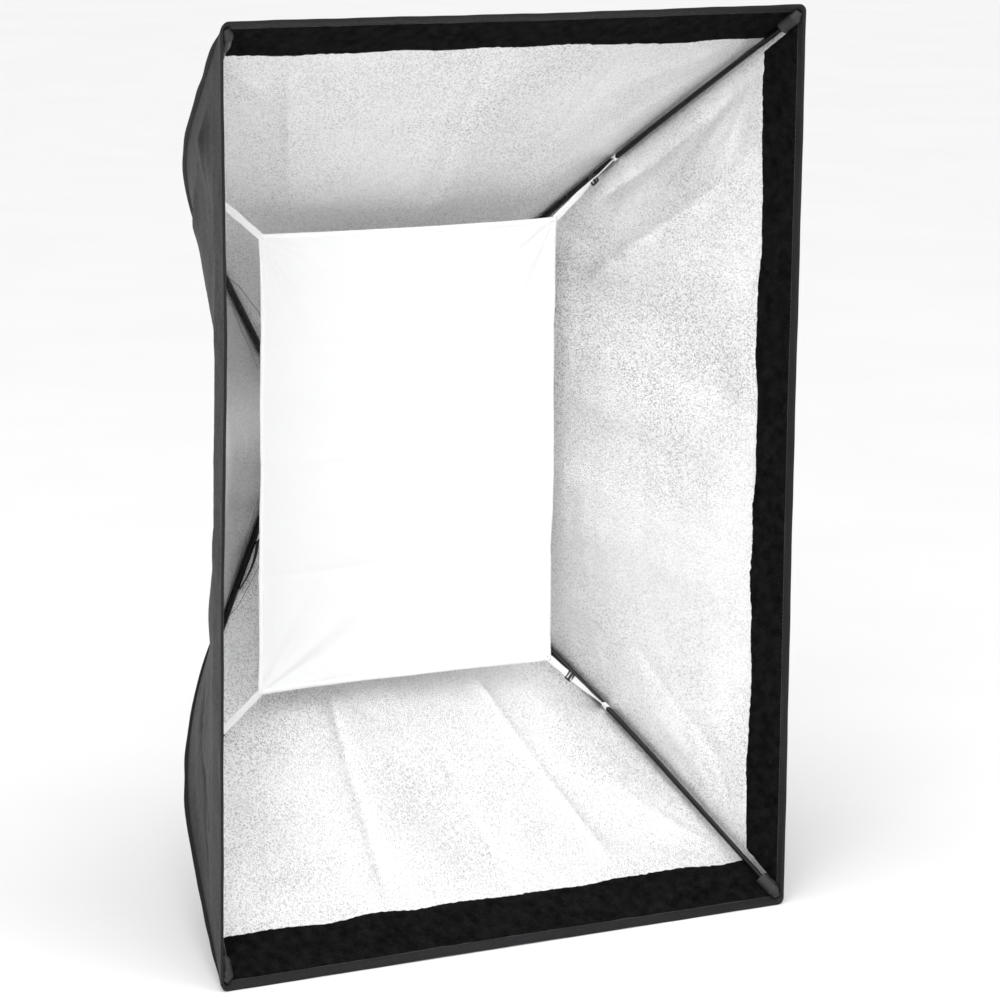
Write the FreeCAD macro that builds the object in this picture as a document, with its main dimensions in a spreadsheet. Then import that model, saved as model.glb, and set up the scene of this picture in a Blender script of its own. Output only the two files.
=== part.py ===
import FreeCAD, Part
import math
import os

import Sketcher
from FreeCAD import Placement, Rotation, Vector

# A rectangular softbox, 70 x 100 cm, on a three-lug speedring. Millimetres throughout.
# X runs to the right and Z up. Y runs back towards the light: the seat on the light is y = 0,
# and the open front, with its recessed lip, is at y = -shell_depth.
# "Depth" below is measured backwards from the front plane.

SIZES = {
    # Fabric shell
    "front_width": 700.0,
    "front_height": 1000.0,
    "shell_depth": 465.0,
    "lip_depth": 52.0,
    "panel_end_step": -35.0,
    "panel_thick": 1.2,
    "panel_sag_share": 0.7,
    "seam_clear_front": 5.5,
    "seam_clear_rear": 6.5,
    "panel_edge_gap": 4.5,
    "piping_half": 1.5,
    "piping_stand_off": 0.5,
    "hem_width": 9.0,
    "hem_thick": 2.4,
    "fabric_gap": 0.3,
    "tape_thick": 1.5,
    "tape_corner_gap": 34.0,
    "collar_end_step": -17.0,
    "collar_end_margin": 8.0,
    # Rods, from the socket floor to the tip in the corner pocket
    "rod_radius": 3.0,
    "rod_base_lift": 0.9,
    "rod_base_setback": 15.0,
    "rod_bend_across": 0.7286,
    "rod_bend_along": 0.4021,
    "rod_bend_up": 0.574,
    "rod_bend_radius": 572.0,
    "rod_tip_inset_x": 10.5,
    "rod_tip_inset_z": 15.6,
    "rod_tip_depth": 7.0,
    "slip_gap": 0.05,
    "cap_wall": 0.9,
    "cap_cover": 8.0,
    "cap_nose": 3.0,
    "pocket_gap": 0.3,
    "pocket_wall": 1.0,
    "pocket_cover": 22.0,
    # Inner baffle and its corner straps
    "baffle_width": 372.5,
    "baffle_height": 505.3,
    "baffle_step": -226.0,
    "baffle_thick": 1.0,
    "baffle_hem_width": 5.0,
    "baffle_hem_thick": 2.0,
    "baffle_gap": 0.2,
    "strap_width": 8.0,
    "strap_thick": 1.0,
    "strap_rod_step": 1.0,
    "loop_wall": 1.3,
    "loop_gap": 0.15,
    "loop_length": 9.0,
    "slider_length": 10.5,
    "slider_width": 12.0,
    "slider_thick": 3.0,
    "slider_slot_gap": 0.2,
    "slider_place": 0.66,
    "slider_place_low": 0.38,
    "tie_length": 70.0,
    "tie_width": 10.0,
    "tie_step": -80.0,
    "tie_offset": 9.0,
    "tie_lift": 5.0,
    # Mount ring, which turns in the speedring
    "throat_radius": 49.0,
    "hub_wall": 13.0,
    "hub_length": 10.0,
    "flange_step": 6.0,
    "flange_thick": 3.0,
    "lug_inset": 5.0,
    "lug_wall": 4.0,
    "lug_depth": 9.5,
    "lug_width": 22.0,
    "lug_rise": 5.5,
    "lug_thick": 2.5,
    # Speedring and its retainer
    "ring_wall": 13.5,
    "ring_setback": 1.5,
    "axial_gap": 0.1,
    "recess_gap": 0.3,
    "retainer_rim_step": -0.5,
    "retainer_bore_step": -4.0,
    "retainer_thick": 2.0,
    "ring_screw_step": -3.6,
    "ring_screw_radius": 1.45,
    "ring_screw_length": 8.0,
    "ring_screw_head": 2.9,
    "ring_screw_head_thick": 1.8,
    # Rod sockets
    "socket_radius": 6.0,
    "socket_length": 36.0,
    "socket_floor": 2.0,
    "foot_width": 16.0,
    "foot_height": 10.4,
    "foot_gap": 0.1,
    "socket_screw_radius": 1.95,
    "socket_screw_bite": 6.0,
    "socket_screw_head": 3.6,
    "socket_screw_head_thick": 2.5,
    # Lock screw
    "boss_radius": 8.0,
    "boss_height": 12.5,
    "lock_screw_radius": 2.95,
    "lock_hole_gap": 0.1,
    "shoe_length": 3.0,
    "shoe_gap": 0.1,
    "screw_gap": 0.05,
    "lock_setback": 5.8,
    "knob_gap": 2.0,
    "knob_height": 12.0,
    "knob_radius": 12.0,
    "knob_notch_radius": 3.0,
    "knob_roof": 4.0,
}

# Sizes that are sums of others, as the aliases to add up
HUB_RADIUS = ("throat_radius", "hub_wall")
FLANGE_RADIUS = HUB_RADIUS + ("flange_step",)
RING_RADIUS = HUB_RADIUS + ("ring_wall",)
RETAINER_RADIUS = RING_RADIUS + ("retainer_rim_step",)
RETAINER_BORE = HUB_RADIUS + ("retainer_bore_step",)
RING_SCREW_CIRCLE = RING_RADIUS + ("ring_screw_step",)
LUG_INNER = ("throat_radius", "lug_inset")
BOSS_TOP = RING_RADIUS + ("boss_height",)
KNOB_BASE = BOSS_TOP + ("knob_gap",)
ROD_BASE_RADIUS = RING_RADIUS + ("rod_base_lift",)
CAP_RADIUS = ("rod_radius", "cap_wall")
SEAM_GAP_FRONT = ("rod_radius", "seam_clear_front")
SEAM_GAP_REAR = ("rod_radius", "seam_clear_rear")
LOOP_BORE = ("rod_radius", "loop_gap")
PANEL_END = ("shell_depth", "panel_end_step")
COLLAR_END = ("shell_depth", "collar_end_step")
BAFFLE_DEPTH = ("shell_depth", "baffle_step")
TIE_DEPTH = ("shell_depth", "tie_step")

RING_SCREW_ANGLE = 22.5
SOCKET_ANGLE = 45.0
QUARTERS = (0, 1, 2, 3)
LUGS = 3
KNOB_NOTCHES = 7
CORNERS = {
    "top_right": (1, 1),
    "top_left": (-1, 1),
    "bottom_right": (1, -1),
    "bottom_left": (-1, -1),
}
PANEL_STEPS = 8
SPAN_POINTS = (-1.0, -0.5, 0.0, 0.5, 1.0)
BACKWARD = Rotation(Vector(1, 0, 0), -90)
START_SIZE = 10.0  # where sketch geometry starts, before its constraints are solved

doc = FreeCAD.newDocument("softbox")
sheet = doc.addObject("Spreadsheet::Sheet", "sizes")
for row, (alias, value) in enumerate(SIZES.items(), start=1):
    sheet.set(f"A{row}", alias)
    sheet.set(f"B{row}", str(value))
    sheet.setAlias(f"B{row}", alias)
doc.recompute()

nodes = []


def size(alias):
    """A driving size, read from the sheet."""
    return float(sheet.get(alias))


def total(aliases):
    """The value of a sum of sizes."""
    return sum(size(alias) for alias in aliases)


def expr(aliases):
    """The same sum as an expression on the sheet."""
    return "(" + " + ".join(f"sizes.{alias}" for alias in aliases) + ")"


def keep(item, label):
    """Names an object as one of the finished pieces."""
    item.Label = label
    nodes.append(item)
    return item


# ---------------------------------------------------------------- parametric helpers


def cylinder(name, radius, height, place):
    item = doc.addObject("Part::Cylinder", name)
    item.setExpression("Radius", radius)
    item.setExpression("Height", height)
    item.Placement = place
    return item


def block(name, length, width, height, place):
    item = doc.addObject("Part::Box", name)
    item.setExpression("Length", length)
    item.setExpression("Width", width)
    item.setExpression("Height", height)
    item.Placement = place
    return item


def joined(kind, name, shapes):
    """Part::MultiFuse, Part::MultiCommon or Part::Compound of several objects."""
    item = doc.addObject(kind, name)
    if kind == "Part::Compound":
        item.Links = shapes
    else:
        item.Shapes = shapes
    return item


def cut(name, base, tool):
    item = doc.addObject("Part::Cut", name)
    item.Base = base
    item.Tool = tool
    return item


def feature(name, shape):
    item = doc.addObject("Part::Feature", name)
    item.Shape = shape
    return item


def new_body(label, place):
    body = doc.addObject("PartDesign::Body", label)
    body.Placement = place
    return keep(body, label)


def origin_item(body, role):
    return next(f for f in body.Origin.OriginFeatures if f.Role == role)


def flat_sketch(body, name, level=None):
    """A sketch square to the body's own Z, at a bound height if one is given."""
    sketch = body.newObject("Sketcher::SketchObject", name)
    sketch.AttachmentSupport = [(origin_item(body, "XY_Plane"), "")]
    sketch.MapMode = "FlatFace"
    if level:
        sketch.setExpression("AttachmentOffset.Base.z", level)
    return sketch


def bind(sketch, constraint, name, expression):
    index = sketch.addConstraint(constraint)
    sketch.renameConstraint(index, name)
    sketch.setExpression("Constraints." + name, expression)


def add_circle(sketch, name, radius, start=START_SIZE):
    """A circle about the sketch's origin; start is its radius before solving."""
    index = sketch.addGeometry(Part.Circle(Vector(0, 0, 0), Vector(0, 0, 1), start), False)
    sketch.addConstraint(Sketcher.Constraint("Coincident", index, 3, -1, 1))
    bind(sketch, Sketcher.Constraint("Radius", index, start), name, radius)


def add_hole_circle(sketch, name, radius, reach):
    """A circle centred on the sketch's Y axis at a bound distance from the origin."""
    index = sketch.addGeometry(Part.Circle(Vector(0, START_SIZE, 0), Vector(0, 0, 1), 1.0), False)
    sketch.addConstraint(Sketcher.Constraint("PointOnObject", index, 3, -2))
    bind(sketch, Sketcher.Constraint("DistanceY", -1, 1, index, 3, START_SIZE), name + "_reach", reach)
    bind(sketch, Sketcher.Constraint("Radius", index, 1.0), name, radius)


def add_rectangle(sketch, width, low, high):
    """A rectangle centred on the sketch's Y axis, from y = low to y = high."""
    half, near, far = START_SIZE / 2, START_SIZE, 2 * START_SIZE
    corners = [Vector(-half, near, 0), Vector(half, near, 0), Vector(half, far, 0), Vector(-half, far, 0)]
    for start, end in zip(corners, corners[1:] + corners[:1]):
        sketch.addGeometry(Part.LineSegment(start, end), False)
    for side in QUARTERS:
        sketch.addConstraint(Sketcher.Constraint("Coincident", side, 2, (side + 1) % 4, 1))
    for side, way in ((1, "Vertical"), (2, "Horizontal"), (3, "Vertical")):
        sketch.addConstraint(Sketcher.Constraint(way, side))
    sketch.addConstraint(Sketcher.Constraint("Symmetric", 0, 1, 0, 2, -2))
    bind(sketch, Sketcher.Constraint("DistanceX", 0, 1, 0, 2, START_SIZE), "width", width)
    bind(sketch, Sketcher.Constraint("DistanceY", -1, 1, 0, 1, near), "low", low)
    bind(sketch, Sketcher.Constraint("DistanceY", -1, 1, 2, 1, far), "high", high)


def pad(body, name, sketch, length):
    item = body.newObject("PartDesign::Pad", name)
    item.Profile = sketch
    item.setExpression("Length", length)
    sketch.Visibility = False
    doc.recompute()
    return item


def ring_pad(body, name, outer, inner, height, level=None):
    sketch = flat_sketch(body, name + "_sketch", level)
    add_circle(sketch, "outer", outer, 2 * START_SIZE)
    if inner:
        add_circle(sketch, "inner", inner)
    return pad(body, name, sketch, height)


def polar(body, name, originals, count):
    item = body.newObject("PartDesign::PolarPattern", name)
    item.Originals = originals
    item.Axis = (origin_item(body, "Z_Axis"), [""])
    item.Angle = 360
    item.Occurrences = count
    body.Tip = item
    doc.recompute()
    return item


def loft(name, label, wires):
    """A piece whose cross-sections are joined by straight lines from one to the next."""
    return keep(feature(name, Part.makeLoft(wires, True, True)), label)


def polygon(points):
    return Part.makePolygon(points + points[:1])


# ---------------------------------------------------------------- where the rods run


def along(depth):
    """The y of a depth behind the front plane."""
    return depth - size("shell_depth")


def rod_ends():
    """Socket floor, bend corner and tip of the upper right rod's centreline."""
    flat = total(ROD_BASE_RADIUS) * math.cos(math.radians(SOCKET_ANGLE))
    base = Vector(flat, -size("rod_base_setback"), flat)
    tip = Vector(
        size("front_width") / 2 - size("rod_tip_inset_x"),
        along(size("rod_tip_depth")),
        size("front_height") / 2 - size("rod_tip_inset_z"),
    )
    span = tip - base
    bend = base + Vector(
        span.x * size("rod_bend_across"),
        span.y * size("rod_bend_along"),
        span.z * size("rod_bend_up"),
    )
    return base, bend, tip


def rod_route():
    """The centreline's two straight runs and the arc that joins them."""
    base, bend, tip = rod_ends()
    first = (bend - base).normalize()
    last = (tip - bend).normalize()
    turn = first.getAngle(last)
    tangent = size("rod_bend_radius") * math.tan(turn / 2)
    arc_start = bend - first * tangent
    arc_end = bend + last * tangent
    inward = (last - first).normalize()
    corner_reach = size("rod_bend_radius") / math.cos(turn / 2)
    arc_middle = bend + inward * (corner_reach - size("rod_bend_radius"))
    edges = [
        Part.LineSegment(base + first * size("socket_floor"), arc_start),
        Part.Arc(arc_start, arc_middle, arc_end),
        Part.LineSegment(arc_end, tip),
    ]
    return [edge.toShape() for edge in edges], first, last


ROUTE_EDGES, FIRST_WAY, LAST_WAY = rod_route()
ROD_BASE, ROD_BEND, ROD_TIP = rod_ends()


def rod_at(depth):
    """Point and direction of the upper right rod's centreline at a depth."""
    y = along(depth)
    if y >= ROUTE_EDGES[0].Vertexes[1].Point.y:
        reach = (ROD_BASE.y - y) / -FIRST_WAY.y
        return ROD_BASE + FIRST_WAY * reach, FIRST_WAY
    if y <= ROUTE_EDGES[2].Vertexes[0].Point.y:
        reach = (y - ROD_TIP.y) / -LAST_WAY.y
        return ROD_TIP - LAST_WAY * reach, LAST_WAY
    arc = ROUTE_EDGES[1]
    low, high = arc.FirstParameter, arc.LastParameter
    for _ in range(50):
        middle = (low + high) / 2
        if arc.valueAt(middle).y > y:
            low = middle
        else:
            high = middle
    return arc.valueAt(low), arc.tangentAt(low)


def mirrored(point, signs):
    return Vector(point.x * signs[0], point.y, point.z * signs[1])


def aimed(point, way):
    """A placement whose own Z axis starts at a point and runs a given way."""
    return Placement(point, Rotation(Vector(0, 0, 1), way))


# ---------------------------------------------------------------- where the shell runs


def seam_gap(depth):
    """How far the shell's corner stands off the rod's centreline, across and up."""
    share = (depth - size("lip_depth")) / (total(PANEL_END) - size("lip_depth"))
    return total(SEAM_GAP_FRONT) * (1 - share) + total(SEAM_GAP_REAR) * share


def corner_at(depth):
    """Half width and half height of the shell at a depth."""
    lip = size("lip_depth")
    point = rod_at(max(depth, lip))[0]
    gap = seam_gap(max(depth, lip))
    across, up = point.x + gap, point.z + gap
    if depth < lip:
        share = depth / lip
        across = size("front_width") / 2 * (1 - share) + across * share
        up = size("front_height") / 2 * (1 - share) + up * share
    return across, up


def sag_at(depth, way):
    """How far a panel is drawn in at its middle: way 0 is a side panel, 1 is top or bottom."""
    lip, end = size("lip_depth"), total(PANEL_END)
    if depth <= lip:
        return 0.0
    share = (depth - lip) / (end - lip)
    taut = corner_at(lip)[way] * (1 - share) + corner_at(end)[way] * share
    return size("panel_sag_share") * (corner_at(depth)[way] - taut)


def turned(out, y, cross, side):
    """A point at a distance out of the axis and a distance along one of the four walls."""
    places = {
        "right": Vector(out, y, cross),
        "left": Vector(-out, y, cross),
        "top": Vector(cross, y, out),
        "bottom": Vector(cross, y, -out),
    }
    return places[side]


def panel_section(side, depth):
    """The thin closed outline of one wall's fabric at a depth."""
    way = 0 if side in ("right", "left") else 1
    corner = corner_at(depth)
    half = corner[1 - way] - size("panel_edge_gap")
    sag = sag_at(depth, way)
    curves = []
    for inset in (0.0, size("panel_thick")):
        points = [
            turned(corner[way] - inset - sag * (1 - s * s), along(depth), half * s, side)
            for s in SPAN_POINTS
        ]
        spline = Part.BSplineCurve()
        spline.interpolate(points)
        curves.append((spline.toShape(), points[0], points[-1]))
    (outer, outer_start, outer_end), (inner, inner_start, inner_end) = curves
    ends = [
        Part.LineSegment(outer_end, inner_end).toShape(),
        Part.LineSegment(inner_start, outer_start).toShape(),
    ]
    return Part.Wire(Part.__sortEdges__([outer, ends[0], inner, ends[1]]))


def panel_depths():
    """Evenly spaced depths from the lip's inner edge to the panels' rear edge."""
    lip, end = size("lip_depth"), total(PANEL_END)
    return [lip + (end - lip) * step / PANEL_STEPS for step in range(PANEL_STEPS + 1)]


def make_panel(side):
    depths = [size("hem_width") + size("fabric_gap")] + panel_depths()
    loft(f"panel_{side}_loft", f"panel_{side}", [panel_section(side, d) for d in depths])


def make_tape(side):
    """Loop tape on the lip's inner face, which holds a front diffuser or a grid."""
    way = 0 if side in ("right", "left") else 1
    inset = size("panel_thick") + size("fabric_gap")
    wires = []
    for depth in (size("hem_width") + 2 * size("fabric_gap"), size("lip_depth")):
        corner = corner_at(depth)
        half = corner[1 - way] - size("tape_corner_gap")
        outer = corner[way] - inset
        inner = outer - size("tape_thick")
        outline = ((outer, -half), (outer, half), (inner, half), (inner, -half))
        wires.append(polygon([turned(out, along(depth), cross, side) for out, cross in outline]))
    loft(f"loop_tape_{side}_loft", f"loop_tape_{side}", wires)


def make_seam(corner_name, signs):
    """The bound corner seam outside each rod."""
    half = size("piping_half")
    wires = []
    for depth in panel_depths():
        across, up = (c + size("piping_stand_off") for c in corner_at(depth))
        outline = ((-half, -half), (half, -half), (half, half), (-half, half))
        points = [Vector(across + dx, along(depth), up + dz) for dx, dz in outline]
        wires.append(polygon([mirrored(p, signs) for p in points]))
    loft(f"corner_seam_{corner_name}_loft", f"corner_seam_{corner_name}", wires)


def frame_shell(near, far, wall):
    """A four-sided tube between two depths, given as (half width, half height, y)."""
    solids = []
    for inset in (0.0, wall):
        wires = []
        for across, up, y in (near, far):
            x, z = across - inset, up - inset
            wires.append(polygon([Vector(x, y, z), Vector(-x, y, z), Vector(-x, y, -z), Vector(x, y, -z)]))
        solids.append(Part.makeLoft(wires, True, True))
    return solids[0].cut(solids[1])


def make_front_hem():
    width = size("hem_width")
    near = (*corner_at(0.0), along(0.0))
    far = (*corner_at(width), along(width))
    keep(feature("front_hem_shell", frame_shell(near, far, size("hem_thick"))), "front_hem")


def make_rear_collar():
    reach = total(RING_RADIUS) + size("collar_end_margin")
    near = (*corner_at(total(PANEL_END)), along(total(PANEL_END) + size("fabric_gap")))
    far = (reach, reach, along(total(COLLAR_END)))
    keep(feature("rear_collar_shell", frame_shell(near, far, size("panel_thick"))), "rear_collar")


# ---------------------------------------------------------------- rods and what holds them


def make_rod(corner_name, signs):
    name = f"rod_{corner_name}"
    edges = []
    for edge in ROUTE_EDGES:
        ends = [mirrored(v.Point, signs) for v in edge.Vertexes]
        if edge is ROUTE_EDGES[1]:
            middle = edge.valueAt((edge.FirstParameter + edge.LastParameter) / 2)
            edges.append(Part.Arc(ends[0], mirrored(middle, signs), ends[1]).toShape())
        else:
            edges.append(Part.LineSegment(*ends).toShape())
    spine = feature(name + "_line", Part.Wire(edges))
    profile = doc.addObject("Part::Circle", name + "_profile")
    profile.setExpression("Radius", "sizes.rod_radius")
    start = edges[0].Vertexes[0].Point
    profile.Placement = aimed(start, mirrored(FIRST_WAY, signs))
    sweep = doc.addObject("Part::Sweep", name + "_sweep")
    sweep.Sections = [profile]
    sweep.Spine = (spine, ["Edge1", "Edge2", "Edge3"])
    sweep.Solid = True
    keep(sweep, name)


def make_cap(corner_name, signs):
    name = f"rod_cap_{corner_name}"
    way = mirrored(LAST_WAY, signs)
    start = mirrored(ROD_TIP, signs) - way * size("cap_cover")
    outer = cylinder(name + "_outer", expr(CAP_RADIUS), "sizes.cap_cover + sizes.cap_nose", aimed(start, way))
    bore = cylinder(name + "_bore", "sizes.rod_radius + sizes.slip_gap", "sizes.cap_cover", aimed(start, way))
    keep(cut(name + "_cut", outer, bore), name)


def make_pocket(corner_name, signs):
    name = f"corner_pocket_{corner_name}"
    way = mirrored(LAST_WAY, signs)
    start = mirrored(ROD_TIP, signs) - way * size("pocket_cover")
    reach = "sizes.pocket_cover + sizes.cap_nose + sizes.pocket_gap"
    bore_radius = expr(CAP_RADIUS) + " + sizes.pocket_gap"
    outer = cylinder(name + "_outer", bore_radius + " + sizes.pocket_wall", reach + " + sizes.pocket_wall",
                     aimed(start, way))
    bore = cylinder(name + "_bore", bore_radius, reach, aimed(start, way))
    keep(cut(name + "_cut", outer, bore), name)


def ring_middle():
    """The y halfway through the speedring."""
    front = -(size("hub_length") + size("flange_thick") + size("axial_gap"))
    return (front - size("ring_setback")) / 2


def spoke(angle, radius, y):
    """A placement on the ring's rim whose own Z axis points outwards; angle 0 is up."""
    turn = Rotation(Vector(0, 1, 0), angle)
    return Placement(turn.multVec(Vector(0, y, radius)), turn)


def corner_angle(signs):
    """The turn about Y that carries the top of the ring to a corner."""
    return math.degrees(math.atan2(signs[0], signs[1]))


def make_socket(corner_name, signs):
    name = f"rod_socket_{corner_name}"
    way = mirrored(FIRST_WAY, signs)
    base = mirrored(ROD_BASE, signs)
    tube = cylinder(name + "_tube", "sizes.socket_radius", "sizes.socket_length", aimed(base, way))
    place = spoke(corner_angle(signs), total(RING_RADIUS) + size("foot_gap"), ring_middle())
    thickness = "(sizes.hub_length + sizes.flange_thick + sizes.axial_gap - sizes.ring_setback)"
    shift = Vector(-size("foot_width") / 2, ring_half_thickness() * -1, 0)
    foot_place = place.multiply(Placement(shift, Rotation()))
    foot = block(name + "_foot", "sizes.foot_width", thickness, "sizes.foot_height", foot_place)
    body = joined("Part::MultiFuse", name + "_body", [tube, foot])
    floor = base + way * size("socket_floor")
    bore = cylinder(name + "_bore", "sizes.rod_radius + sizes.slip_gap", "sizes.socket_length",
                    aimed(floor, way))
    hole = cylinder(name + "_hole", "sizes.socket_screw_radius + sizes.slip_gap", "sizes.foot_height", place)
    keep(cut(name + "_cut", body, joined("Part::MultiFuse", name + "_holes", [bore, hole])), name)


def ring_half_thickness():
    return -ring_middle() - size("ring_setback")


def make_socket_screws():
    screws = []
    start = total(RING_RADIUS) - size("socket_screw_bite")
    head = total(RING_RADIUS) + size("foot_gap") + size("foot_height")
    for corner_name, signs in CORNERS.items():
        name = f"socket_screw_{corner_name}"
        angle = corner_angle(signs)
        shank = cylinder(name + "_shank", "sizes.socket_screw_radius",
                         "sizes.socket_screw_bite + sizes.foot_gap + sizes.foot_height + sizes.slip_gap",
                         spoke(angle, start, ring_middle()))
        cap = cylinder(name + "_head", "sizes.socket_screw_head", "sizes.socket_screw_head_thick",
                       spoke(angle, head + size("slip_gap"), ring_middle()))
        screws.append(joined("Part::MultiFuse", name, [shank, cap]))
    keep(joined("Part::Compound", "socket_screws_group", screws), "socket_screws")


# ---------------------------------------------------------------- the ring


def make_mount_ring():
    """The insert that locks to the light: a flanged hub with three hooked lugs behind it."""
    body = new_body("mount_ring", Placement(Vector(0, 0, 0), BACKWARD))
    ring_pad(body, "flange", expr(FLANGE_RADIUS), "sizes.throat_radius", "sizes.flange_thick",
             "-sizes.hub_length - sizes.flange_thick")
    ring_pad(body, "hub", expr(HUB_RADIUS), "sizes.throat_radius", "sizes.hub_length", "-sizes.hub_length")
    post_sketch = flat_sketch(body, "lug_post_sketch")
    add_rectangle(post_sketch, "sizes.lug_width", expr(LUG_INNER), expr(LUG_INNER) + " + sizes.lug_wall")
    post = pad(body, "lug_post", post_sketch, "sizes.lug_rise")
    hook_sketch = flat_sketch(body, "lug_hook_sketch", "sizes.lug_rise")
    add_rectangle(hook_sketch, "sizes.lug_width", expr(LUG_INNER), expr(LUG_INNER) + " + sizes.lug_depth")
    hook = pad(body, "lug_hook", hook_sketch, "sizes.lug_thick")
    polar(body, "lugs", [post, hook], LUGS)


def make_speedring():
    """The outer ring. It carries the sockets, and the mount ring turns inside it."""
    thickness = "(sizes.hub_length + sizes.flange_thick + sizes.axial_gap - sizes.ring_setback)"
    front = Placement(Vector(0, -size("ring_setback") - 2 * ring_half_thickness(), 0), BACKWARD)
    outer = cylinder("speedring_outer", expr(RING_RADIUS), thickness, front)
    boss_start = total(FLANGE_RADIUS) + size("recess_gap")
    boss = cylinder("speedring_boss", "sizes.boss_radius", expr(BOSS_TOP) + f" - {boss_start}",
                    spoke(0, boss_start, -size("lock_setback")))
    slab = block("speedring_slab", "4 * sizes.boss_radius", thickness, expr(BOSS_TOP),
                 Placement(Vector(-2 * size("boss_radius"), front.Base.y, 0), Rotation()))
    flat_boss = joined("Part::MultiCommon", "speedring_flat_boss", [boss, slab])
    bore = cylinder("speedring_bore", expr(HUB_RADIUS) + " + sizes.slip_gap", thickness, front)
    recess = cylinder("speedring_recess", expr(FLANGE_RADIUS) + " + sizes.recess_gap",
                      "sizes.flange_thick + 2 * sizes.axial_gap", front)
    lock_hole = cylinder("speedring_lock_hole", "sizes.lock_screw_radius + sizes.lock_hole_gap",
                         expr(BOSS_TOP), spoke(0, size("throat_radius"), -size("lock_setback")))
    holes = [bore, recess, lock_hole]
    for quarter in QUARTERS:
        angle = RING_SCREW_ANGLE + 90 * quarter
        middle = spoke(angle, total(RING_SCREW_CIRCLE), 0).Base
        place = Placement(Vector(middle.x, front.Base.y, middle.z), BACKWARD)
        holes.append(cylinder(f"speedring_screw_hole_{quarter}", "sizes.ring_screw_radius + sizes.slip_gap",
                              "sizes.ring_screw_length", place))
    for corner_name, signs in CORNERS.items():
        start = total(RING_RADIUS) - size("socket_screw_bite") - size("slip_gap")
        holes.append(cylinder(f"speedring_socket_hole_{corner_name}",
                              "sizes.socket_screw_radius + sizes.slip_gap", "2 * sizes.socket_screw_bite",
                              spoke(corner_angle(signs), start, ring_middle())))
    solid = joined("Part::MultiFuse", "speedring_solid", [outer, flat_boss])
    keep(cut("speedring_cut", solid, joined("Part::MultiFuse", "speedring_holes", holes)), "speedring")


def make_retaining_ring():
    """The flat ring that keeps the mount ring's flange in its recess."""
    front = -(size("hub_length") + size("flange_thick") + size("axial_gap") + size("retainer_thick"))
    turn = Rotation(Vector(0, 1, 0), RING_SCREW_ANGLE)
    body = new_body("retaining_ring", Placement(Vector(0, front, 0), turn.multiply(BACKWARD)))
    ring_pad(body, "washer", expr(RETAINER_RADIUS), expr(RETAINER_BORE), "sizes.retainer_thick")
    sketch = flat_sketch(body, "screw_hole_sketch", "sizes.retainer_thick")
    add_hole_circle(sketch, "hole", "sizes.ring_screw_radius + sizes.slip_gap", expr(RING_SCREW_CIRCLE))
    pocket = body.newObject("PartDesign::Pocket", "screw_hole")
    pocket.Profile = sketch
    pocket.setExpression("Length", "sizes.retainer_thick")
    doc.recompute()
    polar(body, "screw_holes", [pocket], len(QUARTERS))


def make_ring_screws():
    face = -(size("hub_length") + size("flange_thick") + size("axial_gap") + size("retainer_thick"))
    screws = []
    for quarter in QUARTERS:
        name = f"ring_screw_{quarter}"
        middle = spoke(RING_SCREW_ANGLE + 90 * quarter, total(RING_SCREW_CIRCLE), 0).Base
        head_y = face - size("ring_screw_head_thick") - size("slip_gap")
        head = cylinder(name + "_head", "sizes.ring_screw_head", "sizes.ring_screw_head_thick",
                        Placement(Vector(middle.x, head_y, middle.z), BACKWARD))
        shank_y = head_y + size("ring_screw_head_thick")
        shank = cylinder(name + "_shank", "sizes.ring_screw_radius", "sizes.ring_screw_length",
                         Placement(Vector(middle.x, shank_y, middle.z), BACKWARD))
        screws.append(joined("Part::MultiFuse", name, [head, shank]))
    keep(joined("Part::Compound", "ring_screws_group", screws), "ring_screws")


def make_lock():
    """A thumbscrew on top of the speedring presses a soft shoe on the mount ring's hub."""
    station = -size("lock_setback")
    shoe_start = total(HUB_RADIUS) + size("shoe_gap")
    shoe = cylinder("lock_shoe_pad", "sizes.lock_screw_radius", "sizes.shoe_length",
                    spoke(0, shoe_start, station))
    keep(shoe, "lock_shoe")
    screw_start = shoe_start + size("shoe_length") + size("screw_gap")
    screw_end = total(KNOB_BASE) + size("knob_height") - size("knob_roof")
    screw = cylinder("lock_screw_shank", "sizes.lock_screw_radius", f"{screw_end - screw_start}",
                     spoke(0, screw_start, station))
    keep(screw, "lock_screw")
    body = new_body("lock_knob", spoke(0, total(KNOB_BASE), station))
    ring_pad(body, "grip", "sizes.knob_radius", None, "sizes.knob_height")
    bore_sketch = flat_sketch(body, "bore_sketch", "sizes.knob_height - sizes.knob_roof")
    add_circle(bore_sketch, "bore", "sizes.lock_screw_radius + sizes.slip_gap")
    bore = body.newObject("PartDesign::Pocket", "bore")
    bore.Profile = bore_sketch
    bore.setExpression("Length", "sizes.knob_height")
    notch_sketch = flat_sketch(body, "notch_sketch", "sizes.knob_height")
    add_hole_circle(notch_sketch, "notch", "sizes.knob_notch_radius",
                    "sizes.knob_radius + sizes.knob_notch_radius / 2")
    notch = body.newObject("PartDesign::Pocket", "notch")
    notch.Profile = notch_sketch
    notch.setExpression("Length", "sizes.knob_height")
    doc.recompute()
    polar(body, "notches", [notch], KNOB_NOTCHES)


# ---------------------------------------------------------------- baffle and straps


def centred_block(name, width, thickness, height, middle):
    """A block across X, Y and Z about a point."""
    item = block(name, width, thickness, height, Placement())
    item.setExpression("Placement.Base.x", f"-({width}) / 2")
    item.setExpression("Placement.Base.y", f"{middle.y} - ({thickness}) / 2")
    item.setExpression("Placement.Base.z", f"-({height}) / 2")
    return item


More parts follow.
